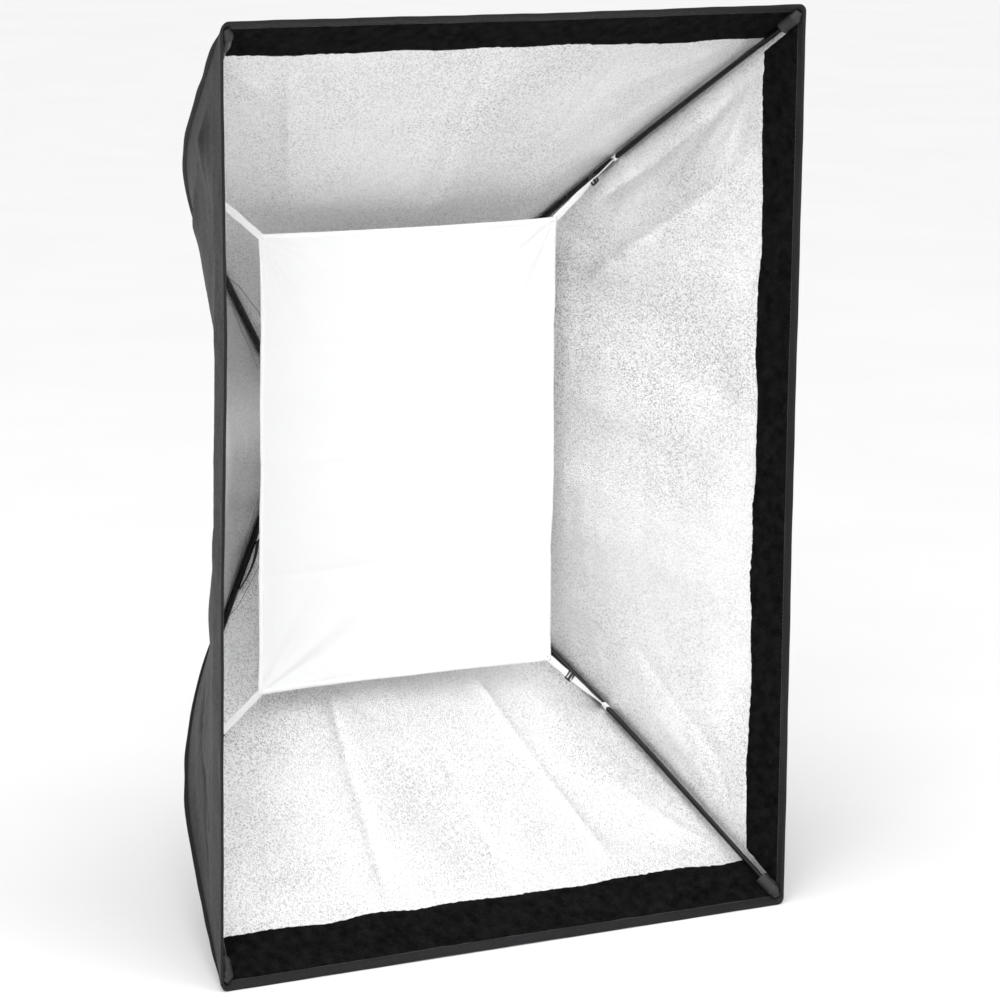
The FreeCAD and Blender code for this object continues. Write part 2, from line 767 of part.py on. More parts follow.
def make_baffle():
    middle = Vector(0, along(total(BAFFLE_DEPTH)), 0)
    inner = [f"sizes.baffle_{way} - 2 * sizes.baffle_hem_width" for way in ("width", "height")]
    sheet_size = [f"{way} - 2 * sizes.baffle_gap" for way in inner]
    keep(centred_block("baffle_cloth", sheet_size[0], "sizes.baffle_thick", sheet_size[1], middle), "baffle")
    outer = centred_block("baffle_hem_outer", "sizes.baffle_width", "sizes.baffle_hem_thick",
                          "sizes.baffle_height", middle)
    window = centred_block("baffle_hem_window", inner[0], "2 * sizes.baffle_hem_thick", inner[1], middle)
    keep(cut("baffle_hem_cut", outer, window), "baffle_hem")


def strap_line(signs):
    """Start at the baffle's corner, the rod's point it loops round, and the rod's direction."""
    start = Vector(
        size("baffle_width") / 2 + size("fabric_gap"),
        along(total(BAFFLE_DEPTH)),
        size("baffle_height") / 2 + size("fabric_gap"),
    )
    point, way = rod_at(total(BAFFLE_DEPTH) + size("strap_rod_step"))
    return mirrored(start, signs), mirrored(point, signs), mirrored(way, signs)


def strap_frame(start, end):
    """Own X along the strap and own Z through its thickness."""
    return Rotation((end - start).normalize(), Vector(0, 0, 0), Vector(0, 1, 0), "XZY")


def make_strap(corner_name, signs):
    name = f"baffle_strap_{corner_name}"
    start, point, way = strap_line(signs)
    turn = strap_frame(start, point)
    loop_radius = total(LOOP_BORE) + size("loop_wall")
    length = (point - start).Length
    shift = turn.multVec(Vector(0, -size("strap_width") / 2, -size("strap_thick") / 2))
    webbing = block(name + "_webbing", f"{length}", "sizes.strap_width", "sizes.strap_thick",
                    Placement(start + shift, turn))
    loop_turn = Rotation(point - start, Vector(0, 0, 0), way, "ZXY")
    loop_start = Placement(point - way * (size("loop_length") / 2), loop_turn)
    loop = cylinder(name + "_loop", f"{loop_radius}", "sizes.loop_length", loop_start)
    bore_start = Placement(point - way * size("loop_length"), loop_turn)
    bore = cylinder(name + "_bore", expr(LOOP_BORE), "2 * sizes.loop_length", bore_start)
    keep(cut(name + "_cut", joined("Part::MultiFuse", name + "_body", [webbing, loop]), bore), name)


def make_slider(corner_name, signs):
    name = f"strap_slider_{corner_name}"
    start, point, _ = strap_line(signs)
    turn = strap_frame(start, point)
    share = size("slider_place_low") if corner_name == "bottom_right" else size("slider_place")
    place = start + (point - start) * share
    shift = turn.multVec(Vector(0, -size("slider_width") / 2, -size("slider_thick") / 2))
    outer = block(name + "_outer", "sizes.slider_length", "sizes.slider_width", "sizes.slider_thick",
                  Placement(place + shift, turn))
    slot_shift = turn.multVec(
        Vector(0, -size("strap_width") / 2 - size("slider_slot_gap"),
               -size("strap_thick") / 2 - size("slider_slot_gap"))
    )
    slot = block(name + "_slot", "sizes.slider_length", "sizes.strap_width + 2 * sizes.slider_slot_gap",
                 "sizes.strap_thick + 2 * sizes.slider_slot_gap", Placement(place + slot_shift, turn))
    keep(cut(name + "_cut", outer, slot), name)


def make_tie_strap():
    """A short webbing tie beside the lower left rod."""
    signs = CORNERS["bottom_left"]
    point, way = (mirrored(v, signs) for v in rod_at(total(TIE_DEPTH)))
    beside = Vector(-signs[0], 0, 0)
    middle = point + beside * size("tie_offset") + Vector(0, 0, -signs[1]) * size("tie_lift")
    turn = Rotation(way, Vector(0, 0, 0), beside, "XZY")
    shift = turn.multVec(Vector(-size("tie_length") / 2, -size("tie_width") / 2, 0))
    keep(block("tie_strap_webbing", "sizes.tie_length", "sizes.tie_width", "sizes.strap_thick",
               Placement(middle + shift, turn)), "tie_strap")


# ---------------------------------------------------------------- build and write

make_mount_ring()
make_speedring()
make_retaining_ring()
make_ring_screws()
make_socket_screws()
make_lock()
for corner, corner_signs in CORNERS.items():
    make_socket(corner, corner_signs)
    make_rod(corner, corner_signs)
    make_cap(corner, corner_signs)
    make_pocket(corner, corner_signs)
    make_seam(corner, corner_signs)
    make_strap(corner, corner_signs)
    make_slider(corner, corner_signs)
for wall in ("top", "bottom", "left", "right"):
    make_panel(wall)
    make_tape(wall)
make_front_hem()
make_rear_collar()
make_baffle()
make_tie_strap()
doc.recompute()

for item in doc.Objects:
    if "Invalid" in item.State or "Error" in item.State:
        raise RuntimeError(f"{item.Label} failed: {item.State}")
for item in nodes:
    if item.Shape.isNull() or not item.Shape.isValid() or not item.Shape.Solids:
        raise RuntimeError(f"{item.Label} has no valid solid")

os.makedirs("parts", exist_ok=True)
for item in nodes:
    item.Shape.exportStep(f"parts/{item.Label}.step")
print(len(nodes), "pieces written")
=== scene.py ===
"""Looks for the rectangular softbox: cloth shell, lip, baffle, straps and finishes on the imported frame.

Metres, in the part's own frame: X right, Z up, Y back towards the light, the seat on the light at y = 0.
"Depth" is measured backwards from the front plane.
"""

import math

import bpy
import numpy as np
from mathutils import Matrix, Vector


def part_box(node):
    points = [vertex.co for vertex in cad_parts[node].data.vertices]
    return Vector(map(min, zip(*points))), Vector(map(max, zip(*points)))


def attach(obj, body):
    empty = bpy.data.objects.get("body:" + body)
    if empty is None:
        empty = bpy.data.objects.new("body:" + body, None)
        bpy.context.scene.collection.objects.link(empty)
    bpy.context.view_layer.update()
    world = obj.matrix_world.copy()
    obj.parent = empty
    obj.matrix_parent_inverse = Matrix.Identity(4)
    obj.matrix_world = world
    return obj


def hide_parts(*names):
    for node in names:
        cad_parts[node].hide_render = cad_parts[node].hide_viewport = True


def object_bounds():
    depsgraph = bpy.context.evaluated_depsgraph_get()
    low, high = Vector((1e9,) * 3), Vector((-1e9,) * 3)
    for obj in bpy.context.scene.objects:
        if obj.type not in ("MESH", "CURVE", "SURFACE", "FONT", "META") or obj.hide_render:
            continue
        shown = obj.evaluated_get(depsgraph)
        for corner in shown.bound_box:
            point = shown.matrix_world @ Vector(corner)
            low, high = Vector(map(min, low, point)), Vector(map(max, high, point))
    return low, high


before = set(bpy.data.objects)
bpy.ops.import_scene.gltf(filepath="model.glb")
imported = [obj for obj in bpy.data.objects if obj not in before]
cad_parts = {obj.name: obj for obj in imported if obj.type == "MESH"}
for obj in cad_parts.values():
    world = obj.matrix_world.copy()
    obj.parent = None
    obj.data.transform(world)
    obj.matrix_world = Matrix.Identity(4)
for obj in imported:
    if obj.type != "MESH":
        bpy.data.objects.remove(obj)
cad_box = [list(corner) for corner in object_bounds()]

WALLS = ("top", "bottom", "left", "right")
CORNERS = {
    "top_right": (1, 1),
    "top_left": (-1, 1),
    "bottom_right": (1, -1),
    "bottom_left": (-1, -1),
}
QUADRANTS = ((1, 1), (-1, 1), (-1, -1), (1, -1))
MM = 0.001


# ---- sizes read from the frame

HEM_LOW, HEM_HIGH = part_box("front_hem")
HALF_WIDTH, HALF_HEIGHT = HEM_HIGH.x, HEM_HIGH.z
FRONT = HEM_LOW.y
HEM_WIDTH = HEM_HIGH.y - HEM_LOW.y
LIP_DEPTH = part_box("loop_tape_right")[1].y - FRONT
SHELL_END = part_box("panel_right")[1].y - FRONT
COLLAR_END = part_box("rear_collar")[1].y - FRONT
RING_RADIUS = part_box("speedring")[1].x
BAFFLE_LOW, BAFFLE_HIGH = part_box("baffle_hem")
BAFFLE_Y = (BAFFLE_LOW.y + BAFFLE_HIGH.y) / 2
BAFFLE_HALF_X, BAFFLE_HALF_Z = BAFFLE_HIGH.x, BAFFLE_HIGH.z


# ---- sizes that no box gives

STRAP_WIDTH = 8 * MM
STRAP_DEPTH = BAFFLE_Y - FRONT + 1 * MM
ROD_RADIUS = 3 * MM

# The rod's centreline: socket floor, tip, bend corner, and the radius of the bend between its runs.
ROD_BASE = np.array([54.0, -15.0, 54.0]) * MM
ROD_TIP = np.array([HALF_WIDTH - 10.5 * MM, FRONT + 7.0 * MM, HALF_HEIGHT - 15.6 * MM])
ROD_BEND = ROD_BASE + (ROD_TIP - ROD_BASE) * np.array([0.7286, 0.4021, 0.574])
ROD_BEND_RADIUS = 0.572

# From the rod's centreline out to the shell's corner, inside the lip and at the rear.
SEAM_GAP_FRONT, SEAM_GAP_REAR = 8.5 * MM, 9.5 * MM
# How much of the rod's bow a wall's middle leaves out, the laminate's thickness, the hem's corner radius.
SAG_SHARE = 0.7
CLOTH = 1.2 * MM
HEM_CORNER = 8 * MM


# ---- helpers for numbers


def smooth(value, low, high):
    """0 below low, 1 above high, and a smooth step between."""
    share = np.clip((value - low) / (high - low), 0.0, 1.0)
    return share * share * (3 - 2 * share)


def ripple(across, along, wavelength, seed, waves=14, spread=1.0, stretch=1.0):
    """Smooth seeded noise of about unit size, with waves of roughly one wavelength."""
    rng = np.random.default_rng(seed)
    total = np.zeros(np.broadcast(across, along).shape)
    for _ in range(waves):
        angle = rng.uniform(0, math.tau)
        count = math.tau / (wavelength * rng.uniform(1 / (1 + spread), 1 + spread))
        phase = rng.uniform(0, math.tau)
        total = total + np.cos(count * (across * math.cos(angle) + along * math.sin(angle) / stretch) + phase)
    return total / math.sqrt(waves / 2)


def crease(across, along, start, end, height, width):
    """A soft ridge along a straight line that fades at both ends."""
    start, end = np.array(start), np.array(end)
    run = end - start
    length = np.linalg.norm(run)
    run = run / length
    from_start = across - start[0], along - start[1]
    share = (from_start[0] * run[0] + from_start[1] * run[1]) / length
    off = from_start[0] * -run[1] + from_start[1] * run[0]
    fade = smooth(share, -0.08, 0.12) * (1 - smooth(share, 0.88, 1.08))
    return height * fade * np.exp(-np.abs(off / width) ** 1.3)


def unit(vector):
    return vector / np.linalg.norm(vector)


def unit_rows(rows):
    return rows / np.linalg.norm(rows, axis=1)[:, None]


# ---- the rods' and shell's shape


def rod_route(samples=160):
    """Dense points along the upper right rod, from socket to tip."""
    first, last = unit(ROD_BEND - ROD_BASE), unit(ROD_TIP - ROD_BEND)
    turn = math.acos(float(first @ last))
    tangent = ROD_BEND_RADIUS * math.tan(turn / 2)
    start = ROD_BEND - first * tangent
    centre = ROD_BEND + unit(last - first) * ROD_BEND_RADIUS / math.cos(turn / 2)
    spoke = (start - centre) / ROD_BEND_RADIUS
    angles = np.linspace(0, turn, samples)[:, None]
    arc = centre + ROD_BEND_RADIUS * (np.cos(angles) * spoke + np.sin(angles) * first)
    return np.vstack([[ROD_BASE], arc, [ROD_TIP]])


ROUTE = rod_route()
LAST_WAY = unit(ROD_TIP - ROD_BEND)


def rod_at(depth):
    """Point on the upper right rod's centreline at a depth."""
    y = FRONT + depth
    return np.array([np.interp(-y, -ROUTE[:, 1], ROUTE[:, k]) for k in range(3)])


def corners_at(depth):
    """Half width and half height of the shell at depths."""
    depth = np.asarray(depth, float)
    inside = np.maximum(depth, LIP_DEPTH)
    gap = SEAM_GAP_FRONT + (SEAM_GAP_REAR - SEAM_GAP_FRONT) * (inside - LIP_DEPTH) / (SHELL_END - LIP_DEPTH)
    share = np.clip(depth / LIP_DEPTH, 0, 1)
    halves = []
    for axis, front in ((0, HALF_WIDTH), (2, HALF_HEIGHT)):
        rear = np.interp(-(FRONT + inside), -ROUTE[:, 1], ROUTE[:, axis]) + gap
        halves.append(front * (1 - share) + rear * share)
    return halves


LIP_CORNER = [float(c) for c in corners_at(LIP_DEPTH)]
END_CORNER = [float(c) for c in corners_at(SHELL_END)]


def sag_at(depth, way):
    """How far a wall is drawn in at its middle; way 0 is a side wall, 1 is top or bottom."""
    share = np.clip((depth - LIP_DEPTH) / (SHELL_END - LIP_DEPTH), 0, 1)
    taut = LIP_CORNER[way] * (1 - share) + END_CORNER[way] * share
    return np.where(depth > LIP_DEPTH, SAG_SHARE * (corners_at(depth)[way] - taut), 0.0)


def way_of(wall):
    """0 for a side wall and 1 for the top or the bottom."""
    return 0 if wall in ("left", "right") else 1


def placed(wall, out, depth, cross):
    """Points at a distance out of the axis, a depth and a distance along one of the four walls."""
    out, depth, cross = np.broadcast_arrays(out, depth, cross)
    out = out if wall in ("right", "top") else -out
    across, up = (out, cross) if way_of(wall) == 0 else (cross, out)
    return np.stack([across, FRONT + depth, up], -1)


# Long creases in the cloth: (cross, depth) at both ends, height and width, with a gain on the heights.
CREASE_GAIN = 1.7
CREASES = {
    "bottom": (
        ((-0.078, 0.30), (-0.120, 0.056), 3.0 * MM, 9 * MM),
        ((0.090, 0.31), (0.172, 0.056), -2.6 * MM, 9 * MM),
        ((-0.195, 0.20), (-0.262, 0.070), 1.6 * MM, 7 * MM),
        ((0.020, 0.20), (0.032, 0.060), 1.2 * MM, 10 * MM),
    ),
    "top": (
        ((-0.005, 0.066), (0.030, 0.260), 2.8 * MM, 10 * MM),
        ((-0.241, 0.066), (-0.150, 0.240), -2.0 * MM, 9 * MM),
        ((0.170, 0.070), (0.130, 0.230), 1.6 * MM, 9 * MM),
    ),
    "right": (
        ((0.266, 0.258), (0.420, 0.060), 2.2 * MM, 9 * MM),
        ((0.180, 0.250), (0.330, 0.060), -1.8 * MM, 9 * MM),
        ((-0.239, 0.190), (-0.380, 0.062), 1.8 * MM, 9 * MM),
    ),
    "left": (
        ((0.250, 0.270), (0.400, 0.062), 2.0 * MM, 9 * MM),
        ((-0.230, 0.250), (-0.360, 0.062), -1.8 * MM, 9 * MM),
    ),
}


def wrinkles(wall, cross, depth, half):
    """How far the cloth stands out from its smooth shape, in metres."""
    seed = 10 * WALLS.index(wall)
    side = half - np.abs(cross)
    free = smooth(side, 6 * MM, 60 * MM) * smooth(depth, LIP_DEPTH, LIP_DEPTH + 0.05)
    free = free * (1 - smooth(depth, SHELL_END - 0.06, SHELL_END))
    broad = 2.4 * MM * ripple(cross, depth, 0.22, seed + 1, stretch=1.6)
    middle = 0.55 * MM * ripple(cross, depth, 0.08, seed + 2, stretch=1.8)
    fine = 0.12 * MM * ripple(cross, depth, 0.022, seed + 3)
    total = free * (broad + middle) + smooth(side, 2 * MM, 20 * MM) * fine
    fan_reach = 0.20
    for sign in (-1, 1):
        for corner_depth, strength in ((LIP_DEPTH, 1.1 * MM), (SHELL_END, 0.8 * MM)):
            inwards, along = half - sign * cross, np.abs(depth - corner_depth)
            radius, angle = np.hypot(inwards, along), np.arctan2(along, inwards)
            fan = np.sin(8 * angle + seed + sign) + 0.4 * np.sin(19 * angle + 2 * sign)
            fade = np.exp(-((radius / fan_reach) ** 2))
            total = total + free * strength * fan * fade * smooth(radius, 0.01, 0.07)
    for start, end, height, width in CREASES[wall]:
        total = total + free * crease(cross, depth, start, end, CREASE_GAIN * height, width)
    lip = (1 - smooth(depth, LIP_DEPTH - 5 * MM, LIP_DEPTH + 20 * MM)) * smooth(side, 5 * MM, 50 * MM)
    lip = lip * smooth(depth, HEM_WIDTH, HEM_WIDTH + 15 * MM)
    return total + lip * 0.5 * MM * ripple(cross, depth * 0.3, 0.09, seed + 4)


# How far each front edge is drawn in: depth of the bow, where along the edge, and its half length.
FRONT_BOWS = {
    "left": (4.5 * MM, 0.20, 0.20),
    "right": (1.2 * MM, -0.05, 0.30),
    "top": (1.2 * MM, 0.05, 0.20),
    "bottom": (0.8 * MM, -0.05, 0.20),
}


def front_bow(wall, cross, depth):
    """How far a slack front edge hangs inwards."""
    bow, middle, reach = FRONT_BOWS[wall]
    return bow * np.exp(-(((cross - middle) / reach) ** 2)) * (1 - smooth(depth, 0.0, 3 * LIP_DEPTH))


def wall_out(wall, cross, depth, half):
    """Distance of a wall's outer face from the axis."""
    way = way_of(wall)
    bowed = 1 - np.clip(cross / half, -1, 1) ** 2
    taut = corners_at(depth)[way] - sag_at(depth, way) * bowed - front_bow(wall, cross, depth) * bowed
    return taut + wrinkles(wall, cross, depth, half)


# ---- helpers for meshes


def show(item):
    """Adds an object to the scene."""
    bpy.context.scene.collection.objects.link(item)


def make_piece(name, solid, materials, replaced=(), kinds=None, rounded=True, body="softbox"):
    """An object from points and faces, the nodes it replaces and its body."""
    verts, faces = solid
    mesh = bpy.data.meshes.new(name)
    mesh.from_pydata(np.asarray(verts).reshape(-1, 3).tolist(), [], [list(map(int, face)) for face in faces])
    for material in materials:
        mesh.materials.append(material)
    if kinds is not None:
        mesh.polygons.foreach_set("material_index", np.asarray(kinds, np.int32))
    mesh.polygons.foreach_set("use_smooth", np.full(len(mesh.polygons), rounded))
    mesh.validate()
    mesh.update()
    piece = bpy.data.objects.new(name, mesh)
    show(piece)
    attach(piece, body)
    if replaced:
        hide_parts(*replaced)
    return piece


def grid_faces(rows, columns, offset=0, flip=False):
    """Quads of a grid of points that are numbered from the offset."""
    index = np.arange(rows * columns).reshape(rows, columns) + offset
    quads = np.stack([index[:-1, :-1], index[1:, :-1], index[1:, 1:], index[:-1, 1:]], -1).reshape(-1, 4)
    return quads[:, ::-1] if flip else quads


def thin_solid(outer, inner):
    """A closed sheet from two grids of points. Returns points, faces and which faces are inside."""
    rows, columns = outer.shape[:2]
    count = rows * columns
    index = np.arange(count).reshape(rows, columns)
    rim = np.concatenate([index[0, :-1], index[:-1, -1], index[-1, :0:-1], index[:0:-1, 0]])
    after = np.roll(rim, -1)
    sides = np.stack([rim, after, after + count, rim + count], -1)
    faces = np.concatenate([grid_faces(rows, columns), grid_faces(rows, columns, count, True), sides])
    verts = np.concatenate([outer.reshape(-1, 3), inner.reshape(-1, 3)])
    outside = (rows - 1) * (columns - 1)
    inside = np.zeros(len(faces), int)
    inside[outside : 2 * outside] = 1
    normal_out = np.cross(outer[1, 0] - outer[0, 0], outer[0, 1] - outer[0, 0])
    if normal_out @ (outer[0, 0] - inner[0, 0]) < 0:
        faces = faces[:, ::-1]
    return verts, faces, inside


def outward(verts, faces):
    """Faces with their winding turned so that a closed solid's volume is positive."""
    volume = 0.0
    for face in faces:
        first = verts[face[0]]
        for i in range(1, len(face) - 1):
            volume += first @ np.cross(verts[face[i]], verts[face[i + 1]])
    return faces if volume > 0 else [tuple(reversed(face)) for face in faces]


def lofted(rings, closed=False):
    """A solid through rings of points, capped at both ends, or closed from the last ring to the first."""
    rings = np.asarray(rings)
    rows, columns = rings.shape[:2]
    index = np.arange(rows * columns).reshape(rows, columns)
    lower = index if closed else index[:-1]
    upper = np.roll(index, -1, 0) if closed else index[1:]
    quads = np.stack([lower, np.roll(lower, -1, 1), np.roll(upper, -1, 1), upper], -1).reshape(-1, 4)
    faces = [tuple(quad) for quad in quads]
    if not closed:
        faces += [tuple(index[0][::-1]), tuple(index[-1])]
    verts = rings.reshape(-1, 3)
    return verts, outward(verts, faces)


def joined(solids):
    """Points and faces of several solids as one mesh."""
    verts, faces = [], []
    for points, loops in solids:
        base = sum(len(earlier) for earlier in verts)
        faces.extend(tuple(i + base for i in loop) for loop in loops)
        verts.append(points)
    return np.concatenate(verts), faces


def mirrored(points, signs):
    """Points of the upper right corner, turned over into another corner."""
    return np.asarray(points) * np.array([signs[0], 1, signs[1]])


def frame_of(way, hint):
    """Two unit vectors square to a direction; the first is nearest to the hint."""
    way = unit(np.asarray(way, float))
    first = unit(np.asarray(hint, float) - way * (way @ hint))
    return first, np.cross(way, first)


def tube(centres, ways, hints, wide, thick, sides, power):
    """Rings of a superellipse carried along a path. Wide and thick are half sizes; wide is along the hint."""
    angles = np.linspace(0, math.tau, sides, endpoint=False)
    c, s = np.cos(angles), np.sin(angles)
    flat_c = np.sign(c) * np.abs(c) ** (2 / power)
    flat_s = np.sign(s) * np.abs(s) ** (2 / power)
    rings = []
    wides, thicks = np.broadcast_to(wide, len(centres)), np.broadcast_to(thick, len(centres))
    for centre, way, hint, half_wide, half_thick in zip(centres, ways, hints, wides, thicks):
        first, second = frame_of(way, hint)
        rings.append(centre + np.outer(flat_c * half_wide, first) + np.outer(flat_s * half_thick, second))
    return np.array(rings)


# ---- materials


class Shader:
    """A small builder for node materials."""

    def __init__(self, name):
        self.material = bpy.data.materials.new(name)
        self.material.use_nodes = True
        self.tree = self.material.node_tree
        self.bsdf = self.tree.nodes["Principled BSDF"]
        coordinates = self.tree.nodes.new("ShaderNodeTexCoord")
        self.place = coordinates.outputs["Object"]

    def feed(self, socket, value):
        """Joins another node's output to a socket, or sets the socket to a plain value."""
        if isinstance(value, bpy.types.NodeSocket):
            self.tree.links.new(value, socket)
        else:
            socket.default_value = value

    def add(self, kind, **sockets):
        node = self.tree.nodes.new("ShaderNode" + kind)
        for key, value in sockets.items():
            self.feed(node.inputs[key], value)
        return node

    def noise(self, scale, detail, rough):
        node = self.add("TexNoise", Vector=self.place, Scale=scale, Detail=detail, Roughness=rough)
        return node.outputs["Fac"]

    def cells(self, scale):
        return self.add("TexVoronoi", Vector=self.place, Scale=scale)

    def weave(self, scale, distortion):
        """Crossed threads."""
        return self.math("MULTIPLY", self.waves(scale, "X", distortion), self.waves(scale, "Z", distortion))

    def waves(self, scale, direction, distortion):
        node = self.add("TexWave", Vector=self.place, Scale=scale, Distortion=distortion)
        node.bands_direction = direction
        return node.outputs["Fac"]

    def ramp(self, value, stops):
        """Stops are (place, grey) or (place, colour)."""
        node = self.tree.nodes.new("ShaderNodeValToRGB")
        self.tree.links.new(value, node.inputs["Fac"])
        elements = node.color_ramp.elements
        while len(elements) < len(stops):
            elements.new(0.5)
        for element, (place, colour) in zip(elements, stops):
            element.position = place
            element.color = (*colour, 1.0) if np.ndim(colour) else (colour, colour, colour, 1.0)
        return node.outputs["Color"]

    def math(self, operation, first, second):
        node = self.tree.nodes.new("ShaderNodeMath")
        node.operation = operation
        for socket, value in zip(node.inputs, (first, second)):
            self.feed(socket, value)
        return node.outputs["Value"]

    def bump(self, height, strength, distance, below=None):
        node = self.add("Bump", Height=height, Strength=strength, Distance=distance)
        if below is not None:
            self.feed(node.inputs["Normal"], below)
        return node.outputs["Normal"]

    def finish(self, colour, rough, normal=None, **constants):
        """Colour is an output, rough an output or a number; the constants are numbers on the shader."""
        self.feed(self.bsdf.inputs["Base Color"], colour)
        self.feed(self.bsdf.inputs["Roughness"], rough)
        if normal is not None:
            self.feed(self.bsdf.inputs["Normal"], normal)
        for key, value in constants.items():
            self.bsdf.inputs[key.replace("_", " ")].default_value = value
        return self.material


def silver_material():
    """Silver-coated cloth: bright, with painted glints: dark specks in the colour stand for the sparkle of
    tiny reflecting facets, stronger in some areas.
    """
    s = Shader("silver_cloth")
    grain = s.cells(800.0)
    fine = s.noise(1300.0, 2.0, 0.6)
    crinkle = s.noise(60.0, 5.0, 0.6)
    patches = s.noise(4.0, 3.0, 0.6)
    # painted glints: dark specks in the colour stand for reflections in tiny facets; the patches set how deep
    # they go
    painted_glints = s.ramp(s.math("ADD", s.math("MULTIPLY", grain.outputs["Color"], 0.55),
                            s.math("MULTIPLY", fine, 0.45)),
                     [(0.30, 0.0), (0.52, 1.0)])
    depth = s.ramp(patches, [(0.40, 0.24), (0.66, 0.58)])
    shade = s.math("SUBTRACT", 0.95, s.math("MULTIPLY", depth, s.math("SUBTRACT", 1.0, painted_glints)))
    rough = s.ramp(patches, [(0.3, 0.30), (0.7, 0.42)])
    large = s.bump(crinkle, 0.18, 0.003)
    normal = s.bump(grain.outputs["Distance"], 0.5, 0.0012, large)
    normal = s.bump(fine, 0.5, 0.0006, normal)
    return s.finish(s.add("CombineColor", Red=shade, Green=shade, Blue=shade).outputs["Color"], rough, normal,
                    Metallic=0.8)


def nylon_material(name, shade, lift):
    """Black coated nylon: a fine plain weave, a soft sheen and slight fading."""
    s = Shader(name)
    worn = s.noise(9.0, 5.0, 0.6)
    fluff = s.noise(240.0, 4.0, 0.6)
    colour = s.ramp(worn, [(0.3, shade), (0.75, [c * lift for c in shade])])
    rough = s.ramp(fluff, [(0.3, 0.50), (0.7, 0.66)])
    normal = s.bump(fluff, 0.25, 0.0008)
    normal = s.bump(s.weave(520.0, 0.4), 0.35, 0.0003, normal)
    return s.finish(colour, rough, normal, Sheen_Weight=0.02, Sheen_Roughness=0.5, Specular_IOR_Level=0.22)


def loop_material():
    """Loop pile: matte black with a mottled, brushed nap."""
    s = Shader("loop_pile")
    pile, tufts = s.noise(620.0, 5.0, 0.7), s.cells(520.0)
    patches = s.noise(90.0, 4.0, 0.6)
    colour = s.ramp(s.math("MULTIPLY", pile, patches),
                    [(0.15, (0.002, 0.002, 0.0021)), (0.42, (0.014, 0.014, 0.015))])
    normal = s.bump(pile, 0.9, 0.0016)
    normal = s.bump(tufts.outputs["Distance"], 0.5, 0.0010, normal)
    return s.finish(colour, 0.95, normal, Specular_IOR_Level=0.03)


def diffuser_material():
    """Thin white nylon: nearly flat white with a faint weave."""
    s = Shader("white_nylon")
    clouds = s.noise(6.0, 3.0, 0.5)
    colour = s.ramp(clouds, [(0.3, (0.955, 0.956, 0.960)), (0.7, (0.985, 0.986, 0.99))])
    normal = s.bump(s.weave(420.0, 0.3), 0.12, 0.0002)
    return s.finish(colour, 0.62, normal, Sheen_Weight=0.05, Subsurface_Weight=0.3, Subsurface_Scale=0.01,
                    Subsurface_Radius=(1.0, 1.0, 1.0))


def elastic_material(name, shade):
    """Flat woven elastic or webbing: ribs across and a fine grain."""
    s = Shader(name)
    ribs = s.waves(300.0, "DIAGONAL", 0.6)
    grain = s.noise(700.0, 4.0, 0.6)
    colour = s.ramp(grain, [(0.3, [c * 0.8 for c in shade]), (0.7, shade)])
    normal = s.bump(ribs, 0.5, 0.0004)
    normal = s.bump(grain, 0.3, 0.0002, normal)
    return s.finish(colour, 0.8, normal, Sheen_Weight=0.1)


def lacquer_material():
    """Satin black lacquer on spring steel, with a fine grain and scuffs."""
    s = Shader("rod_lacquer")
    grain, scuffs = s.noise(260.0, 3.0, 0.5), s.noise(30.0, 6.0, 0.65)
    colour = s.ramp(scuffs, [(0.35, (0.003, 0.003, 0.0033)), (0.78, (0.010, 0.010, 0.011))])
    rough = s.ramp(grain, [(0.3, 0.12), (0.7, 0.22)])
    return s.finish(colour, rough, s.bump(grain, 0.10, 0.0002), Specular_IOR_Level=0.22)


def vinyl_material():
    """Grained vinyl of the corner pockets."""
    s = Shader("grained_vinyl")
    grain, tone = s.cells(900.0), s.noise(60.0, 4.0, 0.6)
    colour = s.ramp(tone, [(0.3, (0.012, 0.012, 0.013)), (0.7, (0.026, 0.026, 0.028))])
    normal = s.bump(grain.outputs["Distance"], 0.6, 0.0005)
    return s.finish(colour, 0.42, normal, Specular_IOR_Level=0.35)


def metal_material(name, shade, rough_low, rough_high, grain_scale):
    """Cast or plated metal: a fine blasted grain and faint stains."""
    s = Shader(name)
    blasted, stains = s.noise(grain_scale, 4.0, 0.6), s.noise(24.0, 5.0, 0.6)
    colour = s.ramp(stains, [(0.3, [c * 0.82 for c in shade]), (0.75, shade)])
    rough = s.ramp(blasted, [(0.3, rough_low), (0.7, rough_high)])
    return s.finish(colour, rough, s.bump(blasted, 0.2, 0.0003), Metallic=1.0)


def plastic_material(name, shade):
    """Moulded plastic with a fine spark-eroded texture."""
    s = Shader(name)
    texture, tone = s.noise(950.0, 3.0, 0.6), s.noise(40.0, 4.0, 0.6)
    colour = s.ramp(tone, [(0.3, [c * 0.8 for c in shade]), (0.7, shade)])
    rough = s.ramp(texture, [(0.3, 0.42), (0.7, 0.6)])
    return s.finish(colour, rough, s.bump(texture, 0.25, 0.0003))


SILVER = silver_material()
BLACK = nylon_material("black_nylon", (0.0045, 0.0045, 0.005), 1.8)
